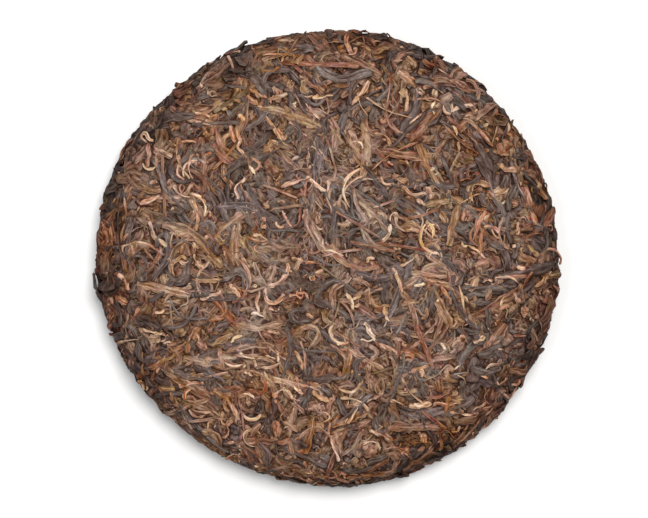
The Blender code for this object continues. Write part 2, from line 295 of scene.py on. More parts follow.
# The pieces that stand out on the face, seen from above, in millimetres from its middle: where each
# starts and ends, how far it bows to its left, and its width.
MARKS = {
    "dark_folded_leaves": (
        (-92, 38, -91, 20, -1.5, 7), (-25, 54, -46, 34, 0.5, 3.8), (-50, -52, -48, -64, 0, 7.5),
        (-19, -30, -20, -52, 2.2, 3.8), (63, -41, 83, -35, -1.8, 4.4), (32, -84, 42, -81, 0, 4.4),
        (-60, 52, -52, 58, 0, 6), (-33, 77, -19, 73, -1.5, 5), (62, 50, 70, 37, 0, 3.5),
        (-86.5, 37, -85.5, 23, 0, 3.5), (-84, 27.5, -70, 27, 0.6, 3), (-68, 28.5, -60, 20.5, 0, 3.5),
        (-79, -25, -72, -30, 0, 4), (1, 32, 2.5, 10, 0, 3.2), (11, -6, 26, -8.5, -1, 3.2),
        (24, -9, 24.5, -20, 0, 4.5), (41, 33.5, 56, 30.5, -1, 2.6), (56, 31, 65, 35, -0.6, 2),
        (30, 26, 43, 17, 0.6, 2.2), (56, 29, 60, 24, 0.5, 4), (80, 31, 76, 20, -1, 2.6),
        (76, 20, 77, 6, -0.3, 2.6), (66, 8.5, 74, 3.5, -0.8, 2.4), (46, 2.5, 54, -8, 0.4, 3.4),
        (61, -19.5, 69, -18.5, 0, 3), (73, -12, 79, -12.5, 0, 3.2), (67, -21.5, 67.5, -30, 0, 3),
        (85, 8.5, 92, 6, 0.5, 3.2), (-79, -35, -76.5, -41, 0, 4), (-74.5, -59.5, -62, -59, 0.8, 2.6),
        (-58, -45.5, -51, -50, 0.4, 3.6), (-42, -38, -30, -35.5, 0.8, 3), (-43, -73.5, -38.5, -75, 0, 3.4),
        (-11, -52, 2, -50.5, -0.5, 3.6), (0, -51, 9, -49, -1, 2), (4, -59, 8, -68, -0.5, 2.6),
        (-24, -60, -25.5, -70, 0, 3.6), (-26.5, -69, -26, -76, 0, 3), (16, -87, 25, -83, 0, 2.6),
        (33, -30, 35, -36, 0, 3), (55, -30, 64, -32, 0, 2.6), (77, -43, 85, -42, 0, 2),
        (66, -49.5, 76, -46, 0.5, 3), (60, -56, 69.5, -53, 0.8, 3.6), (72.5, -55, 71.5, -63, 0, 3.6),
        (39, -52, 41.5, -58.5, 0, 4.5), (56, -52, 57, -62, 0, 3), (45.5, -75, 46.5, -84, 0, 4),
        (50, -76, 51, -83, 0, 3),
    ),
    "brown_folded_leaves": (
        (-12, 79, -2, 71, 0, 5), (-10, 96, 22, 77, -0.5, 5), (-62, -43, -50, -46, 0, 3.6),
        (-69, -51, -53, -61, 0, 3.2), (-37, -79, -22, -79, 0, 3.6), (-44, -41, -24, -38.5, 2.2, 3.2),
        (66, -40, 74, -28, -0.5, 5.5), (25, -72.5, 49, -72, 0.3, 3.2), (53, -70, 71, -66, 0.8, 3.2),
        (-49, 55, -41, 41, -2, 6), (0, 56, 5, 48, 0, 3.5), (38, 79, 52, 74, 0, 3.5),
        (-45, 5, -40, -3.5, 0, 2.4), (-96.5, 14, -96, 3, 0.5, 3), (74, 3.5, 87, -2, 0.8, 3.4),
        (80.5, -11, 82, -19, -0.5, 2.2), (69, -11, 66, -18, 0.6, 2.4), (-84, -36, -83, -46, 0, 4),
        (-50, -38, -41, -33, 0.3, 2.4), (-47, -39, -46, -48, 0, 2.4), (2.5, -74, 5, -83, 0.2, 3.2),
        (18, -73.5, 27, -78, 0.4, 3), (51.5, -41, 57, -36, -0.5, 3), (76, -48, 86, -46, -0.4, 3.6),
        (46, -50.5, 47.5, -57, 0, 3.2), (57, -77, 64, -74.5, 0, 2), (14.5, -84, 20.5, -78, 0, 6.5),
    ),
    "rust_folded_leaves": (
        (-95, 15, -94, 1, 2.5, 5), (29.5, 79, 39, 72.5, -0.6, 3.6), (51, 74.5, 58, 78.5, 0, 5.4),
        (27, 35, 33, 31.5, 0, 3), (41, 30, 44, 25, 0, 3), (82, 37.5, 92, 24, 2, 4.8),
        (83.5, 30, 88, 14, -1.2, 4.2), (-77, -46, -61, -36, -1, 5.6), (-31, -83.5, -25, -90, 0, 4.2),
        (62, -4, 68, -2, 0, 4), (10, -93, 24, -92, -0.5, 4.2), (-22, 55, -19, 50, 0, 4),
        (72, 40, 80, 37, 0, 3), (-56, -2, -52.5, -4.5, 0, 2.6), (-89.5, -16, -85, -19.5, 0, 3),
        (-56, -36, -52.5, -39.5, 0, 3.2), (-27, -31.5, -20.5, -32.5, -0.2, 1.6),
        (-23.5, -70, -22, -77, 0, 3.6), (-20, -71, -13, -75, 0.6, 2.4), (-22, -79.5, -12.5, -76, -1, 2.4),
        (40, -74.5, 40, -78.5, 0, 3), (30.5, -83, 34, -81, 0, 2.6),
    ),
    "golden_folded_leaves": (
        (-30, 63.5, -3.5, 55.5, 0.8, 4.6), (-70, 13.5, -50, 1, 2.5, 4.2), (-28, 45, -22, 49, 0, 5),
        (8.5, 54, 14, 42, -0.4, 4.2), (12, 23, 18, 17, 0, 6), (41, 22.5, 57, 24, 2, 5.6),
        (55, 22, 51, 5, 0.3, 3.4), (72.5, 44, 77.5, 49, 0, 6.2), (-79, -40, -66, -56.5, -7, 4.2),
        (-64.5, -51.5, -57.5, -49.5, 0, 5), (-41, -28.5, -18, -28.5, 0.4, 3.2),
        (-6.5, -68, -10, -84, -0.5, 3.2), (35, -6, 50, -7, 0, 5.2), (43, -13, 52, -30, 0.3, 3.8),
        (31, -88.5, 44, -86, 0.4, 3.2), (33, 85, 37, 81, 0, 2.5), (53, 41, 56, 39, 0, 2.5),
        (-58, -9, -45, -9.5, -0.2, 2.2), (-51, 1, -45, -4, 0, 3.4), (5.5, 27, 4, 20.5, 0, 1.6),
        (84.5, 5.5, 88.5, 0.5, 0, 2.4), (90, -8, 97, -6, 0, 3), (50, -58.5, 48, -68.5, 0.3, 2),
        (20.5, 19.5, 24.5, 16, 0.8, 2),
    ),
    "dark_crumpled_leaves": (
        (-57, -13, -50, -16, 0, 6), (-16, -11, -5, -12.5, 0, 6), (-24, -13.5, -19, -15, 0, 3.5),
        (-23.5, -21, -18.5, -24, 0, 5), (-14, -24, -11, -29, 0, 4.5), (1.5, -43, 4, -46, 0, 4),
        (-5, -75, -2, -79, 0, 6), (-42.5, -41, -38, -43.5, 0, 5),
    ),
    "brown_crumpled_leaves": (
        (-31, 4.5, -13, 5, 0.5, 6), (59.5, 0, 61, -5, 0, 3.5), (16, -45, 18.5, -48, 0, 4.4),
        (-6, -64, -2.5, -66, 0, 5),
    ),
    "golden_crumpled_leaves": (
        (-70.5, -7, -68.5, -11, 0, 3.5), (47.5, 19, 50.5, 14, 0, 3), (59, -14, 63, -8, 0, 5),
        (-76, -34.5, -71.5, -34.5, 0, 3.6), (-36, -63, -33.5, -62.5, 0, 2.6), (10, -63, 14, -62, 0, 3),
        (31, -21, 37, -19, 0, 4),
    ),
    "dark_rolled_leaves": (
        (-43, 37, -43, 22, 0, 2.4), (-56, 48, -50.5, 46, -4, 2.2), (40.5, 61.5, 26, 47, 2, 2.4),
        (48, 58, 40.5, 61.5, -2.8, 2.2), (14, 39, 24, 26, 2.4, 2.2), (33, 88, 43, 84, 4, 2.6),
        (-8, -55, -9, -68, 0, 2.4), (53, -8, 65, -29, -6.5, 2.8), (-42, 79.5, -30, 79.5, 0, 2),
        (8, 78, 8.5, 65, 0, 2.8), (8.5, 65, 13, 56, 0, 2.8), (4, 62, -1.5, 50, -3, 2.4),
        (-84, -3, -77, -3, 4, 1.8), (-58, -7.5, -44, -10, -1, 1.4), (13, 27, 24, 19, 1.5, 1.6),
        (-25, 11.2, -10, 11, 0, 1.3), (60, 30, 63, 21, 0.5, 1.6), (-79, -47.5, -68, -49, 1, 2.2),
        (-23, -80, -17, -87, -1.6, 1.8), (-17, -87, -10, -88, -0.4, 1.8),
    ),
    "brown_rolled_leaves": (
        (14.5, 95, 14.5, 84, 0, 1.8), (50, 60, 67, 45.5, 0.5, 2.2), (53, 61, 70, 47, 0.5, 2),
        (48, 57, 64, 44, 0.3, 2), (-28, -33, -19.5, -42, 1.5, 2.6), (-67, 61.5, -50, 64.5, 1.5, 2),
        (-62, 60.5, -50, 59, 1, 1.8), (40, 73, 57, 72, 1.5, 2.5), (-86, 25, -85.5, 14.5, 0.4, 1.2),
        (-85.5, 14.5, -87, 6.5, 0.2, 1.3), (-87, 6, -79, 12.5, 1.5, 1.3), (-77.5, 4.5, -71, -3, -1, 1.4),
        (10.5, 29, 13, 19.5, -0.5, 1.6), (-26, 19.5, -11, 22, 0.8, 1.6),
        (-31.5, -2, -26.5, -12, -1.5, 2.2), (-9, -5, -2, -10, 0.3, 1.6), (10, -9, 18, -12.5, 0, 1.6),
        (10.5, -30, 4.5, -18.5, -1.8, 1.2), (-26, -20, -27.5, -26.5, -0.6, 1.4),
        (62.5, 13.5, 64, 3, -2, 1.3), (64, 13.5, 64.5, 3, 1.2, 1.3), (83, 7, 90, 10, 1, 1.3),
        (80, -16, 86, -6.5, 1.2, 1.8), (85, -13.5, 90, -18, 0.4, 1.5), (-70, -31, -67, -38, 1.6, 1.4),
        (-71, -63, -64, -65, 0.5, 1.3), (-65, -60.5, -60, -65, 0, 1.6), (-37.5, -63, -32, -64, -2.5, 1.4),
        (-60, -70.5, -44, -69.5, -0.6, 1.6), (0.5, -37, 8, -44, 0.3, 1.6), (21, -50.5, 22, -58, 1.8, 1.4),
        (-17, -62, -10, -67.5, -0.3, 2), (24, -83.5, 30.5, -78.5, -1.5, 1.6),
        (43, -59, 51, -56, -1.5, 1.6), (51, -61.5, 56.5, -65, -0.6, 1.8), (52, -60, 57.5, -64, 0.4, 1.5),
    ),
    "rust_rolled_leaves": (
        (-34, 72, -26.5, 68, 0, 2.2), (-27.5, 68, -18, 70.5, -0.5, 2.2), (-63.5, 50, -59, 33, -2, 2.2),
        (-56.5, 44, -57.3, 33, -2.1, 1.8), (-57.3, 33, -61, 27, 1.5, 1.8), (-56, 44, -51, 40, -1.2, 1.6),
        (-65.5, 30.5, -58.5, 25, -1, 2.2), (-72.5, 44, -70, 30, -0.5, 2.2),
        (-67.5, 49.5, -64.5, 47, 0, 1.8), (-79.5, 22.5, -71.5, 26, 0.4, 2.2), (8, 95, 11, 86, -2.3, 2.2),
        (33, 69, 32.5, 62.5, 1.2, 1.8), (33, 11, 28, 18.5, 0.8, 1.9), (29.5, 17.5, 27, 15.5, -2.4, 1.7),
        (-64, -55, -54, -54, 0.3, 2.6), (-44.5, -60.5, -39, -70, 0.8, 2.2),
        (-36, -72.5, -28.5, -77, 0, 2.4), (-38, -1, -41, -19.5, 5.5, 1.8), (61, -36, 66, -33.5, 0, 2.6),
        (21, -37, 29, -41, 0.5, 2.2), (75, -51, 69, -60, 0.5, 2.4), (-76, 48, -76, 38, 0, 2.2),
        (-38.5, 77, -37.5, 72.5, 0, 2), (-35, 69, -30.5, 65.5, 0, 2.5), (58, 75, 63, 66, 2.5, 2),
        (37, 67, 47, 66, 1, 1.5), (3.5, 14.5, 8.5, 14, -0.4, 2), (-20, 20, -15.5, 12.5, -0.4, 1.1),
        (-10, -2.5, -4, -3, 0.5, 1.6), (66, 12.5, 71.5, 10.5, 2, 1.7), (91, 2.5, 98, -3, 3, 2),
        (42, -9.5, 50.5, -11.5, 0, 1.3), (-44.5, -80.5, -38, -82, 0.4, 1.6),
        (-29.5, -47.5, -21, -45.5, -0.4, 1.6), (-18, -55, -16, -49.5, 0, 1.6),
        (61, -64.5, 67, -61, 0.3, 1.4), (62.5, -66, 68.5, -62.5, 0.3, 1.4),
    ),
    "tan_rolled_leaves": (
        (-42.5, 85, -40, 77.5, 0, 1.3), (-62, 48.5, -57, 48.5, 1.5, 1.5), (-58, 25, -56, 11, 0.7, 1.7),
        (-66, 11, -66, 4, 0, 2.3), (-75.5, 15, -68, 4, 0.2, 2.1), (-88, 4, -69.5, 1.5, 2.6, 1.6),
        (-20.5, 30, -8, 34.5, 0.3, 2.2), (-28, 17, -28, 12, 0, 2.8), (-33, 9.5, -26, 7, 0.4, 1.6),
        (-42, 56, -40, 49, 0, 2), (-39.5, 55, -38, 49.5, 0, 1.8), (17, 75, 9.5, 65, 0.2, 2.3),
        (16, 68, 35, 59, -0.3, 2), (26, 14, 22, 6.5, 1.3, 1.8), (52, 62, 65, 64.5, 1.5, 2.2),
        (55, 60.5, 63, 62.5, -1, 1.8), (80.5, 15, 80, 9.5, 0, 2.1), (-89.5, -6.5, -84, -14, 0.5, 2),
        (-95, -12, -91, -20, 0, 2.6), (-82, -25, -74, -23, 2, 1.6), (-74, -23, -69.5, -22, -0.7, 1.5),
        (-79, -30, -71, -32, -1.5, 1.6), (-71.5, -32, -72, -37, 1.8, 1.5),
        (-89.5, -36.5, -81, -35, 0.9, 1.7), (-51, -67, -60, -65.6, 0.4, 1.3),
        (-60.5, -66, -53, -68.3, -1.8, 1.3), (-49, -70, -46, -71.5, -7.6, 1.4),
        (-42, -11.5, -38, -17, 0, 2.4), (-27, -13, -17, -16.5, -4.2, 2.1), (-17, -16.5, -11, -18, 0.6, 2),
        (-18, -2, -25, -11, 4, 2.1), (-29.5, -14, -30, -24, 0, 1.9), (-14.5, -40, -11.5, -48, 0.6, 1.9),
        (-24, -60, -20, -56, 0, 2.5), (-20, -56, -16, -60.5, 0.3, 2.5), (-15, -55, -11, -58.5, 0, 2),
        (-7, -57, 0, -61, -0.8, 2.5), (16, -2.5, 20, 0, 0.4, 1.7), (30, -3.5, 36, 0, -1.3, 1.5),
        (27, -4.5, 31, -15, 0.7, 1.6), (2, -28, 9, -35, -5, 1.7), (15, -28, 19, -35, 1.8, 2),
        (14, -52, 3.5, -56, 2.7, 1.7), (5, -60, 16, -65, 2.5, 1.9), (31, -51, 41, -62, -1.6, 2),
        (34, -63, 43, -61.5, -1, 2.5), (51, -65, 61, -66, -1, 1.7), (61, -65.8, 71.5, -67, 0.6, 1.6),
        (66, -47, 75, -45.5, 1.9, 1.6), (1, -76, 4, -86, 0, 2.7), (14, -80, 21, -82.5, 3.5, 1.6),
        (60, -74, 66, -71, 0, 2.5), (-57, 61.5, -50, 59.5, 0, 1.3), (-53, 53.5, -52, 51, 0, 2.5),
        (-68, -0.5, -65.5, -3.5, 0, 2.2), (-63, -1.5, -58.5, -1, -0.8, 1.6), (-37, 0, -33, -5, 0, 1.6),
        (14, 33, 19.5, 32.5, 0.3, 1.2), (-3, 3, 6, 0.5, 0.8, 1.2), (-16, -0.5, -11, -2, 0.4, 1.8),
        (23.5, -21, 25.5, -27, -0.5, 2.6), (-10, -24, -6.5, -26.5, 0, 1.6), (37.5, 25, 41, 22, 0, 2.4),
        (33, 11.5, 38.5, 11, 0, 2), (79.5, -4, 83.5, -4.5, 0, 2), (36, -12, 41, -11, 0, 1.4),
        (-57, -32, -55, -36, 0, 1.4), (-32.5, -44, -31.5, -47.5, 0, 1.6), (-37, -59, -32.5, -61, 1.5, 1.2),
        (-22, -41, -21.5, -45, 0, 1.6), (19, -60, 23, -57, 0, 1.6), (8, -70.5, 12, -63.5, -0.3, 1.6),
        (16.5, -73, 21, -75.5, 0, 1.6), (26, -61, 31.5, -62.5, 0.2, 2), (54, -35, 57, -32.5, -0.5, 2.6),
        (77, -53.5, 80.5, -51.5, -1.2, 1.4), (-10, 66, -4, 59, 0, 1.6), (-27, 60, -20, 50, 0, 1.8),
        (-17, 58, -9, 52, 0, 1.6), (38, 49, 18, 37.5, -0.9, 2),
    ),
    "pale_buds": (
        (-7, 68.3, 1.7, 69, 0.3, 3), (-58, 27, -52.5, 17, 2, 2.4), (-8.8, 34.8, -1.5, 28.5, -1.3, 2.6),
        (-22.5, 15, -19, 13, -1, 1.8), (-34, 39, -31.5, 35.5, 0, 2), (-38.5, 61, -36, 58, 0, 2),
        (-55, 74.5, -53.5, 69.5, 0, 1.5), (-52.5, 73, -51.5, 69, 0, 1.3), (14, 38, 9, 19.5, -4.5, 1.9),
        (22, 35, 28, 31, -1.4, 1.3), (41, 14, 46, 1, -4, 1.8), (42, 15, 44, 8, 1, 1.4),
        (74, 58, 76, 54, 2, 1.5), (-37, -67, -30, -65.5, -4, 1.6), (-29, -76.5, -32, -82.5, -6.5, 1.5),
        (-42, -36.5, -37, -33.5, 0, 2.4), (-39, -41, -31, -44, 0.3, 1.8), (-45, -45, -37, -46, -1.2, 1.7),
        (55, -12, 57, -22, 0, 1.3), (70, -9, 80, -11, 1.8, 1.6), (74, -15.5, 72, -21, 0.4, 1.7),
        (7, -15, 10.5, -23, 0.3, 1.9), (9, -18.5, 13.5, -16.5, 0, 1.2), (10, -21, 13.5, -19.5, 0, 1.2),
        (64, -50, 72, -54, 0.6, 1.6), (52, 56, 54, 52, 1, 1.3), (78, 4, 79.5, 5.5, 0, 1.6),
        (47, -36, 49.5, -39.5, 0, 1.4),
    ),
    "red_stems": (
        (-36, 84, 12, 81, 0.5, 2.3), (-15, 82.5, -11.5, 79, 0, 1.8), (-70, 43, -69, 17, 0, 1.4),
        (3, 19.5, 21.5, 8.5, 0, 1.7), (9, 6.5, 28, 2.5, 0, 2), (20, 6, 41, 3, 0.3, 1.4),
        (37, -29, 44, -47, 0, 2.2), (39, -65, 49, -72, 0, 1.6),
    ),
    "olive_stems": (
        (-49, 62, -31, 74, 0, 2.2), (-84, 44, -70, 28.5, -7.5, 1.7), (22, 82, 29.5, 71.5, 0.4, 1.6),
        (18, -49.5, 27, -47, 0, 1.6), (0.5, -29, 4.5, -18, -0.6, 1.1), (28, -47, 26.5, -54.5, 0.4, 1.6),
    ),
    "fibres": ((67, 71, 70.5, 68.5, 0, 0.8),),
    "pale_crumbs": (
        (-45.5, 63, -43.5, 63.5, 0, 1.5), (-42.8, 65, -41, 65.3, 0, 1.6), (-44, 69.5, -42, 70, 0, 1.4),
        (-30.5, 64.5, -28.5, 64.3, 0, 1.4), (66, 56, 68, 57, 0, 1.6), (43, 37, 45, 38, 0, 1.6),
        (45, 35, 47, 36, 0, 1.3), (73, 22, 75, 24, 0, 1.8), (66, 16, 68, 18, 0, 1.8),
    ),
}

# When those pieces are laid, the broad dark ones and the crumpled ones a little before the others, how
# far their ends dip, how much they waver for their sort's bend, and how pale each sort is.
MARK_TURN = (0.9, 1.0)
BACKGROUND_TURN = (0.8, 0.9)
BACKGROUND_SORTS = (
    "dark_folded_leaves", "dark_crumpled_leaves", "brown_crumpled_leaves", "golden_crumpled_leaves",
)
MARK_SINK = (0.2 * MM, 0.8 * MM)
MARK_SWAY = 0.12
MARK_TONE = (0.45, 0.95)
MARK_TONES = {
    "dark_folded_leaves": (0.0, 0.35),
    "brown_folded_leaves": (0.2, 0.7),
    "rust_folded_leaves": (0.6, 1.2),
    "golden_folded_leaves": (0.2, 0.7),
    "dark_crumpled_leaves": (-1.0, -0.3),
    "brown_crumpled_leaves": (1.0, 2.0),
    "dark_rolled_leaves": (0.0, 0.4),
    "brown_rolled_leaves": (0.2, 0.8),
    "rust_rolled_leaves": (0.8, 1.5),
    "tan_rolled_leaves": (0.4, 1.1),
    "pale_buds": (0.2, 0.7),
    "red_stems": (-0.4, 0.1),
    "olive_stems": (-0.3, 0.2),
    "pale_crumbs": (0.0, 0.5),
}


def between(low, high, share):
    """The value that lies this share of the way from low to high."""
    return low + (high - low) * share


def smooth(share):
    """A smooth rise from 0 to 1 over shares from 0 to 1, level at both ends."""
    share = np.clip(share, 0.0, 1.0)
    return share * share * (3.0 - 2.0 * share)


# The form of the cake


def face_height(share):
    """Height of the domed face at shares of the cake's radius."""
    dome = np.maximum(0.0, 1.0 - share**DOME_POWER) ** SHOULDER_POWER
    return between(RIM_HEIGHT, CROWN_HEIGHT, dome)


def back_height(share):
    """Height of the back at shares of the cake's radius: dimple, flat ring and turned-up rim."""
    bowl = np.maximum(0.0, 1.0 - (share * CAKE_RADIUS / DIMPLE_RADIUS) ** DIMPLE_POWER)
    turn = np.maximum(0.0, (share - BACK_FLAT_SHARE) / (1.0 - BACK_FLAT_SHARE))
    rim = RIM_HEIGHT * (1.0 - np.sqrt(np.maximum(0.0, 1.0 - turn * turn)))
    return DIMPLE_DEPTH * bowl**DIMPLE_LIP_POWER + rim


def section():
    """The section from the middle of the face to that of the back: walk, radius, height and normal."""
    share = np.sin(0.5 * math.pi * np.linspace(0.0, 1.0, PROFILE_SAMPLES + 1))
    radius = np.concatenate([share, share[-2::-1]]) * CAKE_RADIUS
    height = np.concatenate([face_height(share), back_height(share[-2::-1])])
    walk = np.concatenate([[0.0], np.cumsum(np.hypot(np.diff(radius), np.diff(height)))])
    out = -np.gradient(height, walk)
    up = np.gradient(radius, walk)
    size = np.hypot(out, up)
    return walk, radius, height, out / size, up / size


WALK, RADIUS, HEIGHT, OUT, UP = section()


def on_cake(x, y, lift, from_back):
    """Places for points of a flat map, laid from the middle of the face or of the back, and lifted."""
    walk = np.hypot(x, y)
    angle = np.arctan2(y, x)
    walk = WALK[-1] - walk if from_back else walk
    radius = np.interp(walk, WALK, RADIUS)
    fade = (radius / CAKE_RADIUS) ** 2
    for count, depth, first in OUT_OF_ROUND:
        radius = radius + fade * depth * np.cos(count * (angle - math.radians(first)))
    radius = radius + lift * np.interp(walk, WALK, OUT)
    height = np.interp(walk, WALK, HEIGHT) + lift * np.interp(walk, WALK, UP)
    squeezed = STONE_LAYER**2 / (2.0 * STONE_LAYER - np.minimum(height, STONE_LAYER))
    height = np.maximum(height, squeezed)
    return np.stack([radius * np.cos(angle), radius * np.sin(angle), height], axis=-1) + MIDDLE


def on_map(x, y):
    """The point of the face's flat map for a place seen from above, whose middle is nearer the eye."""
    seen = math.hypot(x, y)
    nearer = face_height(seen / CAKE_RADIUS) - RIM_HEIGHT
    radius = seen * (1.0 - nearer / CAMERA_DISTANCE)
    walk = float(np.interp(radius, RADIUS[: PROFILE_SAMPLES + 1], WALK[: PROFILE_SAMPLES + 1]))
    return x * walk / seen, y * walk / seen


# Lines of pieces

# A piece before it is laid: its sort, the lines that it may take, its width, when it is laid, from 0 to
# 1, how far its ends dip, how pale it is, and its side of the cake.
Piece = namedtuple("Piece", "sort lines width turn sink tone from_back")


def bent_line(x, y, heading, bend, sway, length, stations):
    """A line round a middle point that turns evenly by its bend, and wavers by its sway."""
    share = (np.arange(stations - 1) + 0.5) / (stations - 1)
    turned = heading + bend * (share - 0.5) + sway * np.sin(2.0 * math.pi * share)
    step = length / (stations - 1)
    along_x = np.concatenate([[0.0], np.cumsum(step * np.cos(turned))])
    along_y = np.concatenate([[0.0], np.cumsum(step * np.sin(turned))])
    return x + along_x - along_x.mean(), y + along_y - along_y.mean()


def bowed_line(start, end, bow, sway, stations):
    """An arc from start to end that bows to its left, and wavers by its sway."""
    run = np.subtract(end, start)
    chord = math.hypot(*run)
    heading = math.atan2(run[1], run[0])
    bend = -4.0 * math.atan2(2.0 * bow, chord)
    length = chord if abs(bend) < 1e-6 else chord * 0.5 * abs(bend) / math.sin(0.5 * abs(bend))
    x, y = bent_line(0.0, 0.0, heading, bend, sway, length, stations)
    return x - x[0] + start[0], y - y[0] + start[1]


def flow(x, y):
    """The angle at which most pieces lie round a point of the map: two uneven waves."""
    x, y = x / FLOW_SIZE, y / FLOW_SIZE
    return 1.7 * math.sin(x + 1.1 * math.sin(0.8 * y)) + 1.5 * math.cos(0.9 * y - 0.8 * math.sin(1.3 * x))


def random_line(draw, sort, from_back):
    """A line of a sort's length and bend somewhere on its side: with the flow, or along the rim there."""
    walk = (BACK_EDGE if from_back else FACE_EDGE) * math.sqrt(draw.random())
    if not from_back and sort.shape in RIM_SHAPES and draw.random() < RIM_SHARE:
        walk = draw.uniform(RIM_STARTS, FACE_EDGE)
    angle = draw.uniform(0.0, 2.0 * math.pi)
    x, y = walk * math.cos(angle), walk * math.sin(angle)
    heading = flow(x, y) + draw.gauss(0.0, FLOW_SPREAD)
    length = between(*sort.length, draw.random() ** LENGTH_POWER)
    bend = draw.gauss(0.0, 1.0) * math.radians(sort.bend)
    sway = draw.gauss(0.0, SWAY_SHARE) * math.radians(sort.bend)
    if walk > RIM_STARTS:
        heading = angle + 0.5 * math.pi + draw.gauss(0.0, RIM_SKEW_SHARE) * RIM_SKEW
        length = min(RIM_LONGER * length, sort.length[1])
        bend = length / walk + 0.5 * bend
    return bent_line(x, y, heading, bend, sway, length, SHAPES[sort.shape].stations)


def random_pieces(draw, from_back):
    """The rest of the heap: every sort spread over its side, each piece with a few places to try."""
    pieces = []
    for name, sort in SORTS.items():
        for _ in range(sort.back if from_back else sort.face):
            lines = [random_line(draw, sort, from_back) for _ in range(TRIES)]
            width = between(*sort.width, draw.random() ** WIDTH_POWER)
            turn = draw.uniform(*sort.turn)
            sink = draw.uniform(*SHAPES[sort.shape].sink)
            pieces.append(Piece(name, lines, width, turn, sink, draw.random(), from_back))
    return pieces


def broad_leaf(draw, pick, walk, angle, heading, bend, from_back):
    """One of the solid's broad leaves, whose size is drawn as it is there."""
    length = between(*LEAF_LENGTH, draw.random())
    width = between(*LEAF_WIDTH, draw.random())

    # The solid's leaf draws its thickness and its lift here. This one gets both from its shape and the heap.
    draw.random()
    draw.random()
    name = pick.choices(BROAD_SORTS, BROAD_SHARES)[0]
    shape = SHAPES[SORTS[name].shape]
    x, y = walk * math.cos(angle), walk * math.sin(angle)
    line = bent_line(x, y, heading, bend, 0.0, length, shape.stations)
    turn = pick.uniform(*BROAD_TURN)
    sink = pick.uniform(*shape.sink)
    return Piece(name, [line], width, turn, sink, pick.random(), from_back)


def spiral_leaves(draw, pick, count, reach, from_back):
    """The broad leaves of the face or of the back, spread evenly along a spiral, each lying its own way."""
    pieces = []
    for i in range(count):
        walk = reach * math.sqrt((i + 0.5) / count)
        angle = i * GOLDEN_ANGLE + draw.uniform(-ANGLE_JITTER, ANGLE_JITTER)
        heading = draw.uniform(0.0, 2.0 * math.pi)
        bend = draw.gauss(0.0, 1.0) * LEAF_BEND
        pieces.append(broad_leaf(draw, pick, walk, angle, heading, bend, from_back))
    return pieces


def rim_leaves(draw, pick):
    """The broad leaves that follow the rim, each a little askew."""
    pieces = []
    for i in range(RIM_LEAVES):
        walk = draw.uniform(*RIM_WALK)
        angle = 2.0 * math.pi * i / RIM_LEAVES + draw.uniform(-ANGLE_JITTER, ANGLE_JITTER)
        heading = angle + 0.5 * math.pi + draw.uniform(-RIM_SKEW, RIM_SKEW)
        bend = between(*LEAF_LENGTH, 0.5) / walk
        pieces.append(broad_leaf(draw, pick, walk, angle, heading, bend, from_back=False))
    return pieces


def broad_leaves(pick):
    """The solid's broad leaves: a spiral over the face, a row along the rim and a spiral over the back."""
    draw = random.Random(SEED)
    pieces = spiral_leaves(draw, pick, FACE_LEAVES, FACE_REACH, from_back=False)
    pieces += rim_leaves(draw, pick)
    pieces += spiral_leaves(draw, pick, BACK_LEAVES, BACK_REACH, from_back=True)
    return pieces


def marked_pieces(draw):
    """The pieces that stand out on the face."""
    pieces = []
    for name, rows in MARKS.items():
        sort = SORTS[name]
        turns = BACKGROUND_TURN if name in BACKGROUND_SORTS else MARK_TURN
        for x0, y0, x1, y1, bow, width in rows:
            start = on_map(x0 * MM, y0 * MM)
            end = on_map(x1 * MM, y1 * MM)
            sway = draw.gauss(0.0, MARK_SWAY) * math.radians(sort.bend)
            line = bowed_line(start, end, bow * MM, sway, SHAPES[sort.shape].stations)
            turn = draw.uniform(*turns)
            sink = draw.uniform(*MARK_SINK)
            tone = draw.uniform(*MARK_TONES.get(name, MARK_TONE))
            pieces.append(Piece(name, [line], width * MM, turn, sink, tone, from_back=False))
    return pieces


# The heap

# A piece that is laid: its places, how near to a crest and how deep in a gap each is, and the run along it.
Laid = namedtuple("Laid", "piece places crest shade run")


def grid_cell(x, y):
    """The row and column of the heap's grid for points of the map."""
    column = np.clip(((x + GRID_REACH) / GRID_PITCH).astype(int), 0, GRID_SIZE - 1)
    row = np.clip(((y + GRID_REACH) / GRID_PITCH).astype(int), 0, GRID_SIZE - 1)
    return row, column


def towards_rim(distance):
    """0 on the well pressed middle of the face, 1 at the rim."""
    return smooth((distance - LOOSE_FROM) / (RIM_STARTS - LOOSE_FROM))


def swell(x, y, size, skew, slow, fast):
    """Uneven hills of a size over the map, from -1 to 1."""
    x, y = x / size, y / size
    return np.sin(x + skew * np.sin(slow * y)) * np.cos(fast[0] * y + fast[1] * np.sin(x))


def ceiling(x, y, turn, from_back):
    """How high the pieces are pressed: an uneven level that rises a little from the first to the last."""
    if from_back:
        return between(*BACK_CEILING, turn)
    rim = towards_rim(np.hypot(x, y))
    level = between(*FACE_CEILING, turn * between(MIDDLE_PRESS, 1.0, rim))
    level = level + CEILING_SWELL * swell(x, y, CEILING_SWELL_SIZE, skew=1.3, slow=1.0, fast=(1.3, 0.9))
    rough = RIM_SWELL * swell(x, y, RIM_SWELL_SIZE, skew=1.7, slow=0.8, fast=(1.2, 1.1))
    return level + turn * rim**4 * (rough - RIM_DROP)


def wander(rng, share, strength, turns):
    """A smooth uneven line: three waves with drawn phases, which add up to at most about its strength."""
    waves = [np.sin(2.0 * math.pi * (turns * k * share + rng.random())) / k for k in (1, 2, 3)]
    return strength * sum(waves) / 1.8


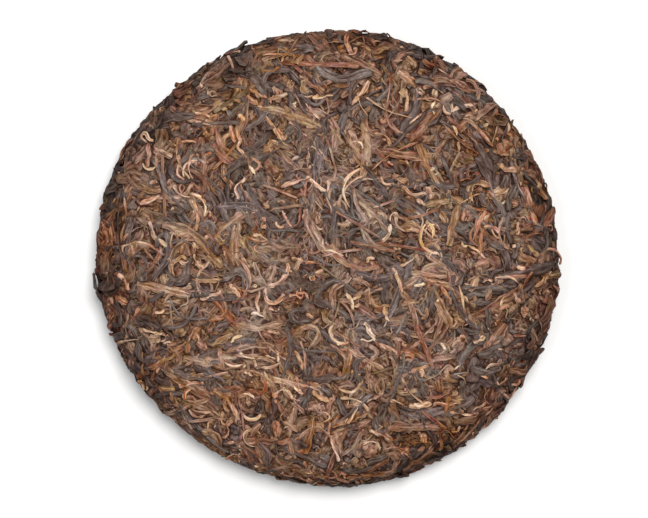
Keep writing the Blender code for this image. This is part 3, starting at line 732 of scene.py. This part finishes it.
def cross_section(shape, width, share, rng):
    """A piece's section along its line: half its width, its points across and up, and its crests."""
    share = share[:, None]
    tip_in, tip_out = rng.uniform(*shape.tips, 2)
    taper = shape.taper * rng.uniform(*TAPER_VARIES)
    narrow = between(tip_in, 1.0, smooth(share / taper))
    narrow = narrow * between(tip_out, 1.0, smooth((1.0 - share) / taper))
    half_width = 0.5 * width * narrow
    half_height = half_width * rng.uniform(*shape.flatness) * narrow**-END_THICKER

    # Over the top from one edge to the other, then back underneath.
    top = np.linspace(0.0, math.pi, shape.over)
    bottom = math.pi + np.linspace(0.0, math.pi, shape.under + 2)[1:-1]
    turned = np.concatenate([top, bottom])
    left = 1.0 + wander(rng, share, shape.edge, EDGE_WAVES)
    right = 1.0 + wander(rng, share, shape.edge, EDGE_WAVES)
    across = np.cos(turned) * half_width * np.where(np.cos(turned) > 0.0, right, left)
    up = np.sin(turned) * half_height

    # Folds run along the top, and the edges curl up.
    folds = rng.uniform(*shape.folds)
    shift = shape.drift * (share * rng.uniform(-1.0, 1.0) + wander(rng, share, FOLDS_WANDER, 1.0))
    crease = np.abs(np.cos(math.pi * (folds * np.cos(turned) * 0.5 + shift + rng.random())))
    rise = np.clip(np.sin(turned), 0.0, 1.0)
    rims = np.where(turned <= math.pi, np.cos(turned) ** 4, 0.0)
    up = up + shape.fold_depth * half_height * (2.0 * crease - FOLD_LEVEL) * rise**0.5
    up = up + rng.uniform(*EDGES_UP) * half_height * rims
    # The crests, the tops of the folds and the upturned edges, get a painted highlight in the material.
    crest = np.maximum(crease * rise, rims)

    # It rocks from side to side, and some pieces twist.
    roll = math.radians(shape.roll)
    rock = roll * rng.uniform(-1.0, 1.0) + wander(rng, share, roll, 1.0)
    if shape.twist[1] > 0.0 and rng.random() < TWISTED_SHARE:
        rock = rock + 2.0 * math.pi * rng.choice((-1.0, 1.0)) * rng.uniform(*shape.twist) * share
    across, up = across * np.cos(rock) - up * np.sin(rock), across * np.sin(rock) + up * np.cos(rock)
    return half_width, across, up, crest


def settle(piece, x, y, beneath, tall, rng):
    """The height of a piece's line: on what lies beneath it, dipping at its ends, and pressed."""
    share = np.linspace(0.0, 1.0, len(x))
    base = between(beneath.mean(axis=1), beneath.max(axis=1), ON_HIGHEST)
    base = np.convolve(np.pad(base, 2, mode="edge"), STIFFNESS, mode="valid")
    start_dip = piece.sink * (1.0 - smooth(share / DIP_SHARE))
    end_dip = piece.sink * (1.0 - smooth((1.0 - share) / DIP_SHARE))
    level = base + SIT * tall - (start_dip + end_dip)
    limit = ceiling(x, y, piece.turn, piece.from_back) - tall
    level = limit - PRESS_SOFTNESS * np.logaddexp(0.0, (limit - level) / PRESS_SOFTNESS)

    # Towards the rim one end stands off, mostly a little. On the back, pressed on a flat stone, none does.
    loose = 0.0 if piece.from_back else towards_rim(np.hypot(x, y).mean())
    stiff = smooth(piece.width / STIFF_WIDTH)
    off = loose * stiff * END_STANDS_OFF * rng.random() ** 3 * smooth(1.0 - share / END_SHARE)
    return level + (off if rng.random() < 0.5 else off[::-1])


def raise_heap(grid, map_x, map_y, lift):
    """Raises the heap to the top of a piece, at points close enough together to miss no cell."""
    stations = len(map_x)
    fine = np.linspace(0.0, stations - 1, 5 * stations)
    low = np.minimum(fine.astype(int), stations - 2)
    part = (fine - low)[:, None]
    rings = [between(field[low], field[low + 1], part) for field in (map_x, map_y, lift)]
    halfway = [0.5 * (field[:, :-1] + field[:, 1:]) for field in rings]
    for x, y, height in (rings, halfway):
        np.maximum.at(grid, grid_cell(x, y), height)


def lay(piece, grid, rng):
    """Lays one piece where the heap is lowest of its lines: its map, its lift, its crests and its run."""
    shape = SHAPES[SORTS[piece.sort].shape]
    x, y = min(piece.lines, key=lambda line: grid[grid_cell(*line)].mean())
    step_x, step_y = np.gradient(x), np.gradient(y)
    step = np.hypot(step_x, step_y)
    side_x, side_y = (-step_y / step)[:, None], (step_x / step)[:, None]
    share = np.linspace(0.0, 1.0, len(x))
    half_width, across, up, crest = cross_section(shape, piece.width, share, rng)

    probes = np.linspace(-FEELS, FEELS, 3) * half_width
    beneath = grid[grid_cell(x[:, None] + side_x * probes, y[:, None] + side_y * probes)]
    lift = settle(piece, x, y, beneath, up.max(axis=1), rng)[:, None] + up
    map_x = x[:, None] + side_x * across
    map_y = y[:, None] + side_y * across
    raise_heap(grid, map_x, map_y, lift)
    run = np.concatenate([[0.0], np.cumsum(np.hypot(np.diff(x), np.diff(y)))])
    return map_x, map_y, lift, crest, run


def closeness(grid, map_x, map_y, lift):
    """How closely the heap stands round each point: 0 in the open, 1 at the bottom of a narrow gap."""
    total = np.zeros_like(lift)
    for reach, ways in GAP_PROBES:
        for k in range(ways):
            angle = 2.0 * math.pi * (k + 0.5) / ways
            cell = grid_cell(map_x + reach * math.cos(angle), map_y + reach * math.sin(angle))
            total += np.clip((grid[cell] - lift) / reach, 0.0, 1.0)
    return total / sum(ways for reach, ways in GAP_PROBES)


def heap(pieces, from_back, rng):
    """Lays every piece of one side, and leaves out those that end up buried."""
    grid = np.full((GRID_SIZE, GRID_SIZE), -CORE_DEPTH)
    pieces = sorted(pieces, key=lambda piece: piece.turn)
    laid = [(piece, *lay(piece, grid, rng)) for piece in pieces]
    shown = []
    for piece, map_x, map_y, lift, crest, run in laid:
        buried = grid[grid_cell(map_x, map_y)] - lift
        if np.mean(buried < BURIED_BELOW) > SHOWN_SHARE:
            places = on_cake(map_x, map_y, lift, from_back)
            shown.append(Laid(piece, places, crest, closeness(grid, map_x, map_y, lift), run))
    return shown


# Joined meshes

# How far each end's pole lies past the last section, for the step between sections.
POLE_REACH = 0.25

# On the flat layouts a piece is longer than its line by this share of its width at each end, for the poles,
# and is this wide for its width, as it goes right round. For baking the pieces lie this far apart, in rows
# whose length leaves a little spare.
POLE_ROOM = 0.4
ROUND_FOR_WIDTH = 2.2
LAYOUT_GAP = 0.5 * MM
LAYOUT_SPARE = 1.03


def tube_faces(stations, ring):
    """The faces of one piece: quads between its rings, then a fan round the pole at each end.

    Gives each corner's point, its row along the piece, where the poles have the first and the last row, its
    turn round the piece, and each face's count of corners.
    """
    i, j = np.indices((stations - 1, ring)).reshape(2, -1, 1)
    quads = (i + [0, 0, 1, 1]) * ring + (j + [0, 1, 1, 0]) % ring
    quad_rows = i + [1, 1, 2, 2]
    quad_turns = j + [0, 1, 1, 0]
    j = np.arange(ring)
    after = (j + 1) % ring
    last = (stations - 1) * ring
    pole = np.full(ring, stations * ring)
    first_fan = np.stack([pole, after, j], axis=1)
    last_fan = np.stack([pole + 1, last + j, last + after], axis=1)
    first_turns = np.stack([j + 0.5, j + 1, j], axis=1)
    last_turns = np.stack([j + 0.5, j, j + 1], axis=1)
    points = np.concatenate([quads.reshape(-1), first_fan.reshape(-1), last_fan.reshape(-1)])
    fan_rows = [np.tile([0, 1, 1], ring), np.tile([stations + 1, stations, stations], ring)]
    rows = np.concatenate([quad_rows.reshape(-1), *fan_rows])
    turns = np.concatenate([quad_turns.reshape(-1), first_turns.reshape(-1), last_turns.reshape(-1)])
    sides = np.concatenate([np.full((stations - 1) * ring, 4), np.full(2 * ring, 3)])
    return points, rows, turns / ring, sides


def pack_cells(lengths, widths):
    """Lays out a rectangle for each piece in rows on a unit square: their corners and the scale."""
    order = np.argsort(-widths)
    across = math.sqrt(np.sum((lengths + LAYOUT_GAP) * (widths + LAYOUT_GAP))) * LAYOUT_SPARE
    corners = np.zeros((len(lengths), 2))
    x, y, row = 0.0, 0.0, 0.0
    for i in order:
        if x + lengths[i] + LAYOUT_GAP > across:
            x, y, row = 0.0, y + row, 0.0
        corners[i] = x, y
        x += lengths[i] + LAYOUT_GAP
        row = max(row, widths[i] + LAYOUT_GAP)
    scale = 1.0 / max(across, y + row)
    return corners * scale, scale


def join_pieces(name, shown, rng):
    """One mesh of all pieces of a sort, with the fields and maps that its material and the baking read."""
    places = np.array([laid.places for laid in shown])
    run = np.array([laid.run for laid in shown])
    width = np.array([laid.piece.width for laid in shown])
    count, stations, ring, _ = places.shape
    middles = places.mean(axis=2)
    first_pole = middles[:, 0] + POLE_REACH * (middles[:, 0] - middles[:, 1])
    last_pole = middles[:, -1] + POLE_REACH * (middles[:, -1] - middles[:, -2])
    poles = np.stack([first_pole, last_pole], axis=1)
    points = np.concatenate([places.reshape(count, -1, 3), poles], axis=1)
    size = points.shape[1]
    corners, rows, turns, sides = tube_faces(stations, ring)
    corners = (np.arange(count)[:, None] * size + corners).reshape(-1)
    starts = np.concatenate([[0], np.cumsum(np.tile(sides, count))[:-1]])

    # Two flat layouts: one for baking, without overlaps, and one in real size, where each piece has its own
    # spot of the grain.
    lengths = run[:, -1] + 2.0 * POLE_ROOM * width
    rounds = ROUND_FOR_WIDTH * width
    along = (run + POLE_ROOM * width[:, None]) / lengths[:, None]
    along = np.concatenate([np.zeros((count, 1)), along, np.ones((count, 1))], axis=1)[:, rows]
    layout = np.stack([along * lengths[:, None], turns * rounds[:, None]], axis=-1)
    cells, scale = pack_cells(lengths, rounds)
    baked = cells[:, None] + layout * scale
    grain = layout + rng.uniform(0.0, 1.0, (count, 1, 2))

    data = bpy.data.meshes.new(name)
    data.vertices.add(count * size)
    data.vertices.foreach_set("co", points.reshape(-1))
    data.loops.add(len(corners))
    data.loops.foreach_set("vertex_index", corners)
    data.polygons.add(len(starts))
    data.polygons.foreach_set("loop_start", starts)
    data.update(calc_edges=True)
    data.shade_smooth()
    for layer, values in (("grain", grain), ("OFBake", baked)):
        data.uv_layers.new(name=layer).data.foreach_set("uv", values.reshape(-1))
    crest = np.array([laid.crest for laid in shown]).reshape(count, -1)
    shade = np.array([laid.shade for laid in shown]).reshape(count, -1)
    fields = {
        "tone": np.repeat([laid.piece.tone for laid in shown], size),
        "tint": np.repeat(rng.random(count), size),
        "crest": np.concatenate([crest, np.zeros((count, 2))], axis=1).reshape(-1),
        "shade": np.concatenate([shade, np.full((count, 2), 0.5)], axis=1).reshape(-1),
    }
    for field, values in fields.items():
        data.attributes.new(field, "FLOAT", "POINT").data.foreach_set("value", values)
    made = bpy.data.objects.new(name, data)
    bpy.context.scene.collection.objects.link(made)
    return made


def make_heap():
    """Every sort of piece on both sides of the cake, one object for each sort."""
    pick = random.Random(SEED + 1)
    rng = np.random.default_rng(SEED)
    broad = broad_leaves(pick)
    shown = []
    for from_back in (False, True):
        pieces = [piece for piece in broad if piece.from_back == from_back]
        pieces += random_pieces(pick, from_back)
        if not from_back:
            pieces += marked_pieces(pick)
        shown += heap(pieces, from_back, rng)
    heaps = []
    for name in SORTS:
        heaps.append(join_pieces(name, [laid for laid in shown if laid.piece.sort == name], rng))
    return heaps


# The core

# How many faces the core has round and from middle to middle, and the depth and sizes of its relief.
CORE_STEPS = 220
CORE_RINGS = 150
CORE_RELIEF = 0.55 * MM
CORE_RIDGES = 3.1 * MM
CORE_GRAINS = 1.3 * MM


def make_core():
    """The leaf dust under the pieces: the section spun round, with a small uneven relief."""
    mesh = bmesh.new()
    points = []
    for walk in np.linspace(0.0, WALK[-1], CORE_RINGS):
        radius = max(0.0, np.interp(walk, WALK, RADIUS) - CORE_DEPTH * np.interp(walk, WALK, OUT))
        height = np.interp(walk, WALK, HEIGHT) - CORE_DEPTH * np.interp(walk, WALK, UP)
        points.append(mesh.verts.new((radius, 0.0, height)))
    edges = [mesh.edges.new(pair) for pair in zip(points, points[1:])]
    bmesh.ops.spin(
        mesh,
        geom=[*points, *edges],
        axis=(0.0, 0.0, 1.0),
        cent=(0.0, 0.0, 0.0),
        angle=2.0 * math.pi,
        steps=CORE_STEPS,
        use_merge=True,
    )
    bmesh.ops.remove_doubles(mesh, verts=mesh.verts, dist=0.01 * MM)
    bmesh.ops.recalc_face_normals(mesh, faces=mesh.faces)
    mesh.normal_update()
    for vert in mesh.verts:
        relief = noise.noise(vert.co / CORE_RIDGES) + 0.5 * noise.noise(vert.co / CORE_GRAINS)
        vert.co += vert.normal * CORE_RELIEF * relief
        vert.co += Vector(MIDDLE)
    data = bpy.data.meshes.new("core")
    mesh.to_mesh(data)
    mesh.free()
    data.shade_smooth()
    core = bpy.data.objects.new("core", data)
    bpy.context.scene.collection.objects.link(core)
    return core


# Materials

# The ribs of a leaf are about 0.3 mm apart, which is too fine to show, so they are drawn twice as coarse.
# Each runs on for about a dozen times its width.
RIB_SPACING = 0.7 * MM
RIB_STRETCH = 0.08

# The spots of dry leaf, from specks to wide stains: their size, their detail, how many times longer they
# are along their leaf, or 0 where they lie over all leaves alike, and how much they change the tone, the hue
# (for a finish's own spread of hues) and the saturation.
Spots = namedtuple("Spots", "size detail along tone hue saturation")
SPOTS = {
    "specks": Spots(0.7 * MM, 1.0, 4.0, 0.42, 1.3, 0.25),
    "blotches": Spots(2.2 * MM, 4.0, 2.5, 0.15, 0.9, 0.14),
    "patches": Spots(7.0 * MM, 3.0, 0.0, 0.22, 0.3, 0.10),
    "regions": Spots(22.0 * MM, 2.0, 0.0, 0.20, 0.3, 0.35),
}

# A noise mostly stays within this range. It is taken to the range from -0.5 to 0.5.
NOISE_RANGE = (0.3, 0.7)

# Where the tone starts, and how much paler crests are painted, as a painted highlight on the tops of folds and
# the upturned edges.
TONE_START = 0.26
CREST_HIGHLIGHT_TONE = 0.22

# Where the hue starts, and the saturation. It is lowest in the middle of the face, where the press rubbed
# the leaves, and rises by so much for each metre outwards.
HUE_START = 0.4965
SATURATION_START = 0.90
SATURATION_OUTWARDS = 1.6

# From the first distance to the second, the leaves get darker and stronger in contrast, by this much gamma:
# painted shade, as where the rim turns from the light and loose leaves shade each other. It would raise the
# saturation too far, so that falls a little.
RIM_FADE = (86.0 * MM, 98.0 * MM)
RIM_SHADE_GAMMA = 0.45
RIM_SATURATION = -0.20

# Painted shade lies in a gap, more of it from the first closeness to the second. It darkens the gap with this
# colour, up to this share, and the gap is made rougher too.
GAP_CLOSENESS = (0.03, 0.40)
GAP_SHADE_DARKENS = 0.78
GAP_SHADE_COLOUR = "#6c3a0c"
GAP_ROUGHER = 0.5

# How much rougher the ribs are than the leaf between them, and the fine relief of ribs and blotches.
RIBS_ROUGHER = 0.24
RIB_RELIEF = 0.6
BLOTCH_RELIEF = 0.8
RELIEF_STRENGTH = 0.9
RELIEF_DEPTH = 0.5 * MM

# A finish of leaf: its material's name, its colours from the creases to the palest crests, its roughness,
# how far its hue spreads, its shine, its down, and how much its tone changes by piece and by rib.
Finish = namedtuple(
    "Finish",
    "name colours roughness hues specular sheen own_tone ribs",
    defaults=(0.031, 0.15, 0.0, 0.27, 0.34),
)
COLOUR_PLACES = (0.0, 0.35, 0.65, 1.0)
FINISHES = {
    # Old leaf, oxidised as it was rolled and dried: slate to mauve brown, smoother than most, dully shining.
    "dark_leaf": Finish(
        "dark_oxidised_leaf", ("#382217", "#4f4039", "#6e5f58", "#9d8f87"), 0.50, hues=0.036, specular=0.2
    ),
    # The same leaf where the press crumpled it flat: more even in tone, and rubbed a little paler.
    "dark_pressed_leaf": Finish(
        "dark_pressed_leaf", ("#3b2416", "#56453b", "#74635c", "#a19089"), 0.55,
        hues=0.038, own_tone=0.14, ribs=0.18,
    ),
    # Half-oxidised leaf, crumpled flat by the press: the matt middle brown that fills most of the face.
    "brown_pressed_leaf": Finish(
        "brown_pressed_leaf", ("#4a270e", "#6b4f3b", "#8e735f", "#bda38e"), 0.6,
        hues=0.038, own_tone=0.14, ribs=0.18,
    ),
    # Half-oxidised leaf, rolled and dried: matt brown, with paler ribs.
    "brown_leaf": Finish("brown_dried_leaf", ("#502a11", "#785842", "#9e7f6b", "#cbaf9b"), 0.55),
    # Leaf bruised before it was rolled, so that it reddened: a muted rust.
    "rust_leaf": Finish("rust_dried_leaf", ("#5a2b0b", "#835c3f", "#a9856c", "#d8baa3"), 0.58),
    # Leaf that dried before it oxidised: greenish gold.
    "golden_leaf": Finish("olive_gold_dried_leaf", ("#563310", "#7f5f42", "#a4876b", "#d0b69b"), 0.55),
    # Young leaf tips, thin and rolled tight: pale tan, matt.
    "tan_leaf": Finish("tan_dried_leaf", ("#75431a", "#a0795c", "#c5a68b", "#e5d0b8"), 0.6),
    # Buds under a coat of fine down: cream, and soft at the edges.
    "downy_bud": Finish("cream_downy_bud", ("#91653a", "#bd9a74", "#d6c0a4", "#ecdfca"), 0.7, sheen=0.2),
    # Stalks whose skin dried red brown, with fine lengthwise ribs.
    "red_stalk": Finish("red_brown_stalk", ("#5e300f", "#825d46", "#a4826d", "#caac97"), 0.5),
    # Stalks whose skin kept some green: a dull olive brown.
    "olive_stalk": Finish("olive_brown_stalk", ("#452f15", "#705842", "#927b65", "#baa690"), 0.5),
    # Torn veins and strips of stalk skin: dull straw brown.
    "fibre": Finish("leaf_fibre", ("#533617", "#7d6049", "#a48c75", "#cbb69e"), 0.6),
    # Broken buds and bits of bare stalk core: pale and dry.
    "pale_crumb": Finish("pale_bud_crumb", ("#886540", "#a68b6e", "#c6b39a", "#e7dccb"), 0.7, sheen=0.2),
}

# The dust between the pieces, coloured from its gaps to its grains, and about the size of its clumps.
DUST_SIZE = 1.5 * MM
DUST_RELIEF = 0.4 * MM
DUST_STOPS = ((0.3, "#331d10"), (0.5, "#62442f"), (0.7, "#947359"))


def srgb(code):
    """A hex colour as Blender's linear colour."""
    levels = [int(code[i : i + 2], 16) / 255.0 for i in (1, 3, 5)]
    return (*(v / 12.92 if v < 0.04045 else ((v + 0.055) / 1.055) ** 2.4 for v in levels), 1.0)


def add(material, kind, settings=None, links=None):
    """Adds a node with its links and its settings: properties, values of inputs or a ramp's stops."""
    tree = material.node_tree
    node = tree.nodes.new(kind)
    for name, value in (settings or {}).items():
        if name == "stops":
            elements = node.color_ramp.elements
            while len(elements) < len(value):
                elements.new(0.5)
            for element, (place, code) in zip(elements, value):
                element.position = place
                element.color = srgb(code)
        elif isinstance(name, str) and hasattr(node, name):
            setattr(node, name, value)
        else:
            node.inputs[name].default_value = value
    for name, source in (links or {}).items():
        tree.links.new(source, node.inputs[name])
    return node


def weighed_sum(material, start, parts):
    """The start plus each part times its weight."""
    (first, weight), *others = parts
    settings = {"operation": "MULTIPLY_ADD", 1: weight, 2: start}
    total = add(material, "ShaderNodeMath", settings, {0: first}).outputs["Value"]
    for part, weight in others:
        settings = {"operation": "MULTIPLY_ADD", 1: weight}
        total = add(material, "ShaderNodeMath", settings, {0: part, 2: total}).outputs["Value"]
    return total


def leaf_ribs(material, grain):
    """Ribs that run along each piece: the noise itself, and the same spread from -0.5 to 0.5."""
    scale = (RIB_STRETCH / RIB_SPACING, 1.0 / RIB_SPACING, 1.0)
    stretched = add(material, "ShaderNodeMapping", {"Scale": scale}, {"Vector": grain}).outputs["Vector"]
    ribs = add(
        material,
        "ShaderNodeTexNoise",
        {"Scale": 1.0, "Detail": 3.0, "Roughness": 0.55},
        {"Vector": stretched},
    ).outputs["Fac"]
    spread = add(
        material,
        "ShaderNodeMapRange",
        {"From Min": NOISE_RANGE[0], "From Max": NOISE_RANGE[1], "To Min": -0.5, "To Max": 0.5},
        {"Value": ribs},
    ).outputs["Result"]
    return ribs, spread


def leaf_spots(material, spots, grain, place):
    """One size of spots: the noise itself, and its spread from -0.5 to 0.5 for tone, hue and saturation."""
    if spots.along:
        scale = (1.0 / spots.along, 1.0, 1.0)
        place = add(material, "ShaderNodeMapping", {"Scale": scale}, {"Vector": grain}).outputs["Vector"]
    pattern = add(
        material,
        "ShaderNodeTexNoise",
        {"Scale": 1.0 / spots.size, "Detail": spots.detail, "Roughness": 0.6, "Distortion": 0.8},
        {"Vector": place},
    )
    low, high = NOISE_RANGE
    spread = add(
        material,
        "ShaderNodeMapRange",
        {"data_type": "FLOAT_VECTOR", 7: (low,) * 3, 8: (high,) * 3, 9: (-0.5,) * 3, 10: (0.5,) * 3},
        {"Vector": pattern.outputs["Color"]},
    )
    parts = add(material, "ShaderNodeSeparateXYZ", links={"Vector": spread.outputs["Vector"]})
    return pattern.outputs["Fac"], parts.outputs["X"], parts.outputs["Y"], parts.outputs["Z"]


def leaf_colour(material, finish, ribs, grain, place, distance):
    """The leaf's colour, with painted shade towards the rim, and the relief of its blotches.

    Its tone changes from piece to piece, by its ribs, by its crests, which get a painted highlight, and by
    spots of several sizes, which change its hue and saturation too.
    """
    tone, tint, crest = (
        add(material, "ShaderNodeAttribute", {"attribute_name": field}).outputs["Fac"]
        for field in ("tone", "tint", "crest")
    )
    # Crests are painted paler, as a painted highlight.
    tones = [(tone, finish.own_tone), (crest, CREST_HIGHLIGHT_TONE), (ribs, finish.ribs)]
    hues = [(tint, 0.5 * finish.hues)]
    rim = add(
        material,
        "ShaderNodeMapRange",
        {"From Min": RIM_FADE[0], "From Max": RIM_FADE[1], "To Min": 0.0, "To Max": 1.0},
        {"Value": distance},
    ).outputs["Result"]
    saturations = [(distance, SATURATION_OUTWARDS), (rim, RIM_SATURATION)]
    reliefs = {}
    for kind, spots in SPOTS.items():
        patterns = leaf_spots(material, spots, grain, place)
        reliefs[kind], for_tone, for_hue, for_saturation = patterns
        tones.append((for_tone, spots.tone))
        hues.append((for_hue, spots.hue * finish.hues))
        saturations.append((for_saturation, spots.saturation))
    colour = add(
        material,
        "ShaderNodeValToRGB",
        {"stops": tuple(zip(COLOUR_PLACES, finish.colours))},
        {"Fac": weighed_sum(material, TONE_START - 0.5 * finish.own_tone, tones)},
    ).outputs["Color"]
    colour = add(
        material,
        "ShaderNodeHueSaturation",
        links={
            "Hue": weighed_sum(material, HUE_START - 0.25 * finish.hues, hues),
            "Saturation": weighed_sum(material, SATURATION_START, saturations),
            "Color": colour,
        },
    ).outputs["Color"]
    # Painted shade: towards the rim the colour is darkened and its contrast raised.
    gamma = weighed_sum(material, 1.0, ((rim, RIM_SHADE_GAMMA),))
    colour = add(material, "ShaderNodeGamma", links={"Color": colour, "Gamma": gamma}).outputs["Color"]
    return colour, reliefs["blotches"]


def leaf_material(finish):
    """Dry leaf of one finish, darkened by painted shade and dulled in the gaps, with ribs and blotches as a
    fine relief.
    """
    material = bpy.data.materials.new(finish.name)
    material.use_nodes = True
    shader = material.node_tree.nodes["Principled BSDF"]
    place = add(material, "ShaderNodeTexCoord").outputs["Object"]
    flatten = {"operation": "MULTIPLY", 1: (1.0, 1.0, 0.0)}
    flat = add(material, "ShaderNodeVectorMath", flatten, {0: place}).outputs["Vector"]
    distance = add(material, "ShaderNodeVectorMath", {"operation": "LENGTH"}, {0: flat}).outputs["Value"]
    grain = add(material, "ShaderNodeUVMap", {"uv_map": "grain"}).outputs["UV"]
    ribs, rib_spread = leaf_ribs(material, grain)
    colour, blotches = leaf_colour(material, finish, rib_spread, grain, place, distance)

    # Painted shade: the narrower the gap round a point, the darker its colour, and the rougher it is.
    shade = add(material, "ShaderNodeAttribute", {"attribute_name": "shade"}).outputs["Fac"]
    gap_shade = add(
        material,
        "ShaderNodeMapRange",
        {"From Min": GAP_CLOSENESS[0], "From Max": GAP_CLOSENESS[1], "To Min": 0.0, "To Max": GAP_SHADE_DARKENS},
        {"Value": shade},
    ).outputs["Result"]
    colour = add(
        material,
        "ShaderNodeMix",
        {"data_type": "RGBA", "blend_type": "MULTIPLY", 7: srgb(GAP_SHADE_COLOUR)},
        {0: gap_shade, 6: colour},
    ).outputs[2]
    smoothest = finish.roughness - 0.5 * RIBS_ROUGHER
    roughness = weighed_sum(material, smoothest, ((ribs, RIBS_ROUGHER), (gap_shade, GAP_ROUGHER)))
    relief = weighed_sum(material, 0.0, ((ribs, RIB_RELIEF), (blotches, BLOTCH_RELIEF)))
    depth = {"Strength": RELIEF_STRENGTH, "Distance": RELIEF_DEPTH}
    bumps = add(material, "ShaderNodeBump", depth, {"Height": relief})
    material.node_tree.links.new(colour, shader.inputs["Base Color"])
    material.node_tree.links.new(roughness, shader.inputs["Roughness"])
    material.node_tree.links.new(bumps.outputs["Normal"], shader.inputs["Normal"])
    shader.inputs["Specular IOR Level"].default_value = finish.specular
    shader.inputs["Sheen Weight"].default_value = finish.sheen
    return material


def dust_material():
    """Packed leaf dust, steamed and pressed hard: dark brown and quite matt between the pieces."""
    material = bpy.data.materials.new("packed_leaf_dust")
    material.use_nodes = True
    shader = material.node_tree.nodes["Principled BSDF"]
    place = add(material, "ShaderNodeTexCoord").outputs["Object"]
    noise_settings = {"Scale": 1.0 / DUST_SIZE, "Detail": 4.0}
    grains = add(material, "ShaderNodeTexNoise", noise_settings, {"Vector": place}).outputs["Fac"]
    colour = add(material, "ShaderNodeValToRGB", {"stops": DUST_STOPS}, {"Fac": grains}).outputs["Color"]
    bumps = add(material, "ShaderNodeBump", {"Strength": 0.8, "Distance": DUST_RELIEF}, {"Height": grains})
    material.node_tree.links.new(colour, shader.inputs["Base Color"])
    material.node_tree.links.new(bumps.outputs["Normal"], shader.inputs["Normal"])
    shader.inputs["Roughness"].default_value = 0.8
    shader.inputs["Specular IOR Level"].default_value = 0.05
    return material


# Studio

# The lights: a big soft one over the upper right of the face, and a weaker, cooler one from the left. Each
# has its place and its size in metres, its power in watts and its tint.
Light = namedtuple("Light", "name place size power tint")
LIGHTS = (
    Light("key_light", (0.26, 0.42, 1.25), 0.8, 22.8, (1.0, 0.99, 0.97)),
    Light("fill_light", (-0.7, -0.2, 1.1), 0.7, 5.0, (0.97, 0.98, 1.0)),
)
ROOM_BRIGHTNESS = 0.3
FLOOR_REACH = 4.0
FLOOR_COLOUR = "#dbdbdb"


def make_camera():
    """The camera looks straight down on the face."""
    data = bpy.data.cameras.new("camera")
    data.lens = LENS
    data.sensor_width = SENSOR
    data.dof.use_dof = False
    camera = bpy.data.objects.new("camera", data)
    camera.location = (MIDDLE[0] + AIM[0], MIDDLE[1] + AIM[1], RIM_HEIGHT + CAMERA_DISTANCE)
    bpy.context.scene.collection.objects.link(camera)
    bpy.context.scene.camera = camera


def make_light(light):
    """A round soft light that faces the cake."""
    data = bpy.data.lights.new(light.name, "AREA")
    data.shape = "DISK"
    data.size = light.size
    data.energy = light.power
    data.color = light.tint
    made = bpy.data.objects.new(light.name, data)
    made.location = light.place
    made.rotation_euler = (-Vector(light.place)).to_track_quat("-Z", "Y").to_euler()
    bpy.context.scene.collection.objects.link(made)


def make_floor():
    """A plain floor of white paper."""
    mesh = bmesh.new()
    bmesh.ops.create_grid(mesh, x_segments=1, y_segments=1, size=FLOOR_REACH)
    data = bpy.data.meshes.new("floor")
    mesh.to_mesh(data)
    mesh.free()
    floor = bpy.data.objects.new("floor", data)
    bpy.context.scene.collection.objects.link(floor)
    material = bpy.data.materials.new("white_paper")
    material.use_nodes = True
    shader = material.node_tree.nodes["Principled BSDF"]
    shader.inputs["Base Color"].default_value = srgb(FLOOR_COLOUR)
    shader.inputs["Roughness"].default_value = 0.9
    floor.data.materials.append(material)


def make_studio():
    """A white floor, two soft lights and a pale room."""
    for light in LIGHTS:
        make_light(light)
    world = bpy.data.worlds.new("pale_room")
    world.use_nodes = True
    world.node_tree.nodes["Background"].inputs["Color"].default_value = (1.0, 1.0, 1.0, 1.0)
    world.node_tree.nodes["Background"].inputs["Strength"].default_value = ROOM_BRIGHTNESS
    bpy.context.scene.world = world
    bpy.context.scene.view_settings.view_transform = "Standard"
    make_floor()


def main():
    """Builds the cake and its studio."""
    core = make_core()
    core.data.materials.append(dust_material())
    materials = {key: leaf_material(finish) for key, finish in FINISHES.items()}
    pieces = make_heap()
    for piece in pieces:
        piece.data.materials.append(materials[SORTS[piece.name].finish])
    for piece in (core, *pieces):
        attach(piece, "root")
        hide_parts("tea_cake")
    make_camera()
    make_studio()


main()
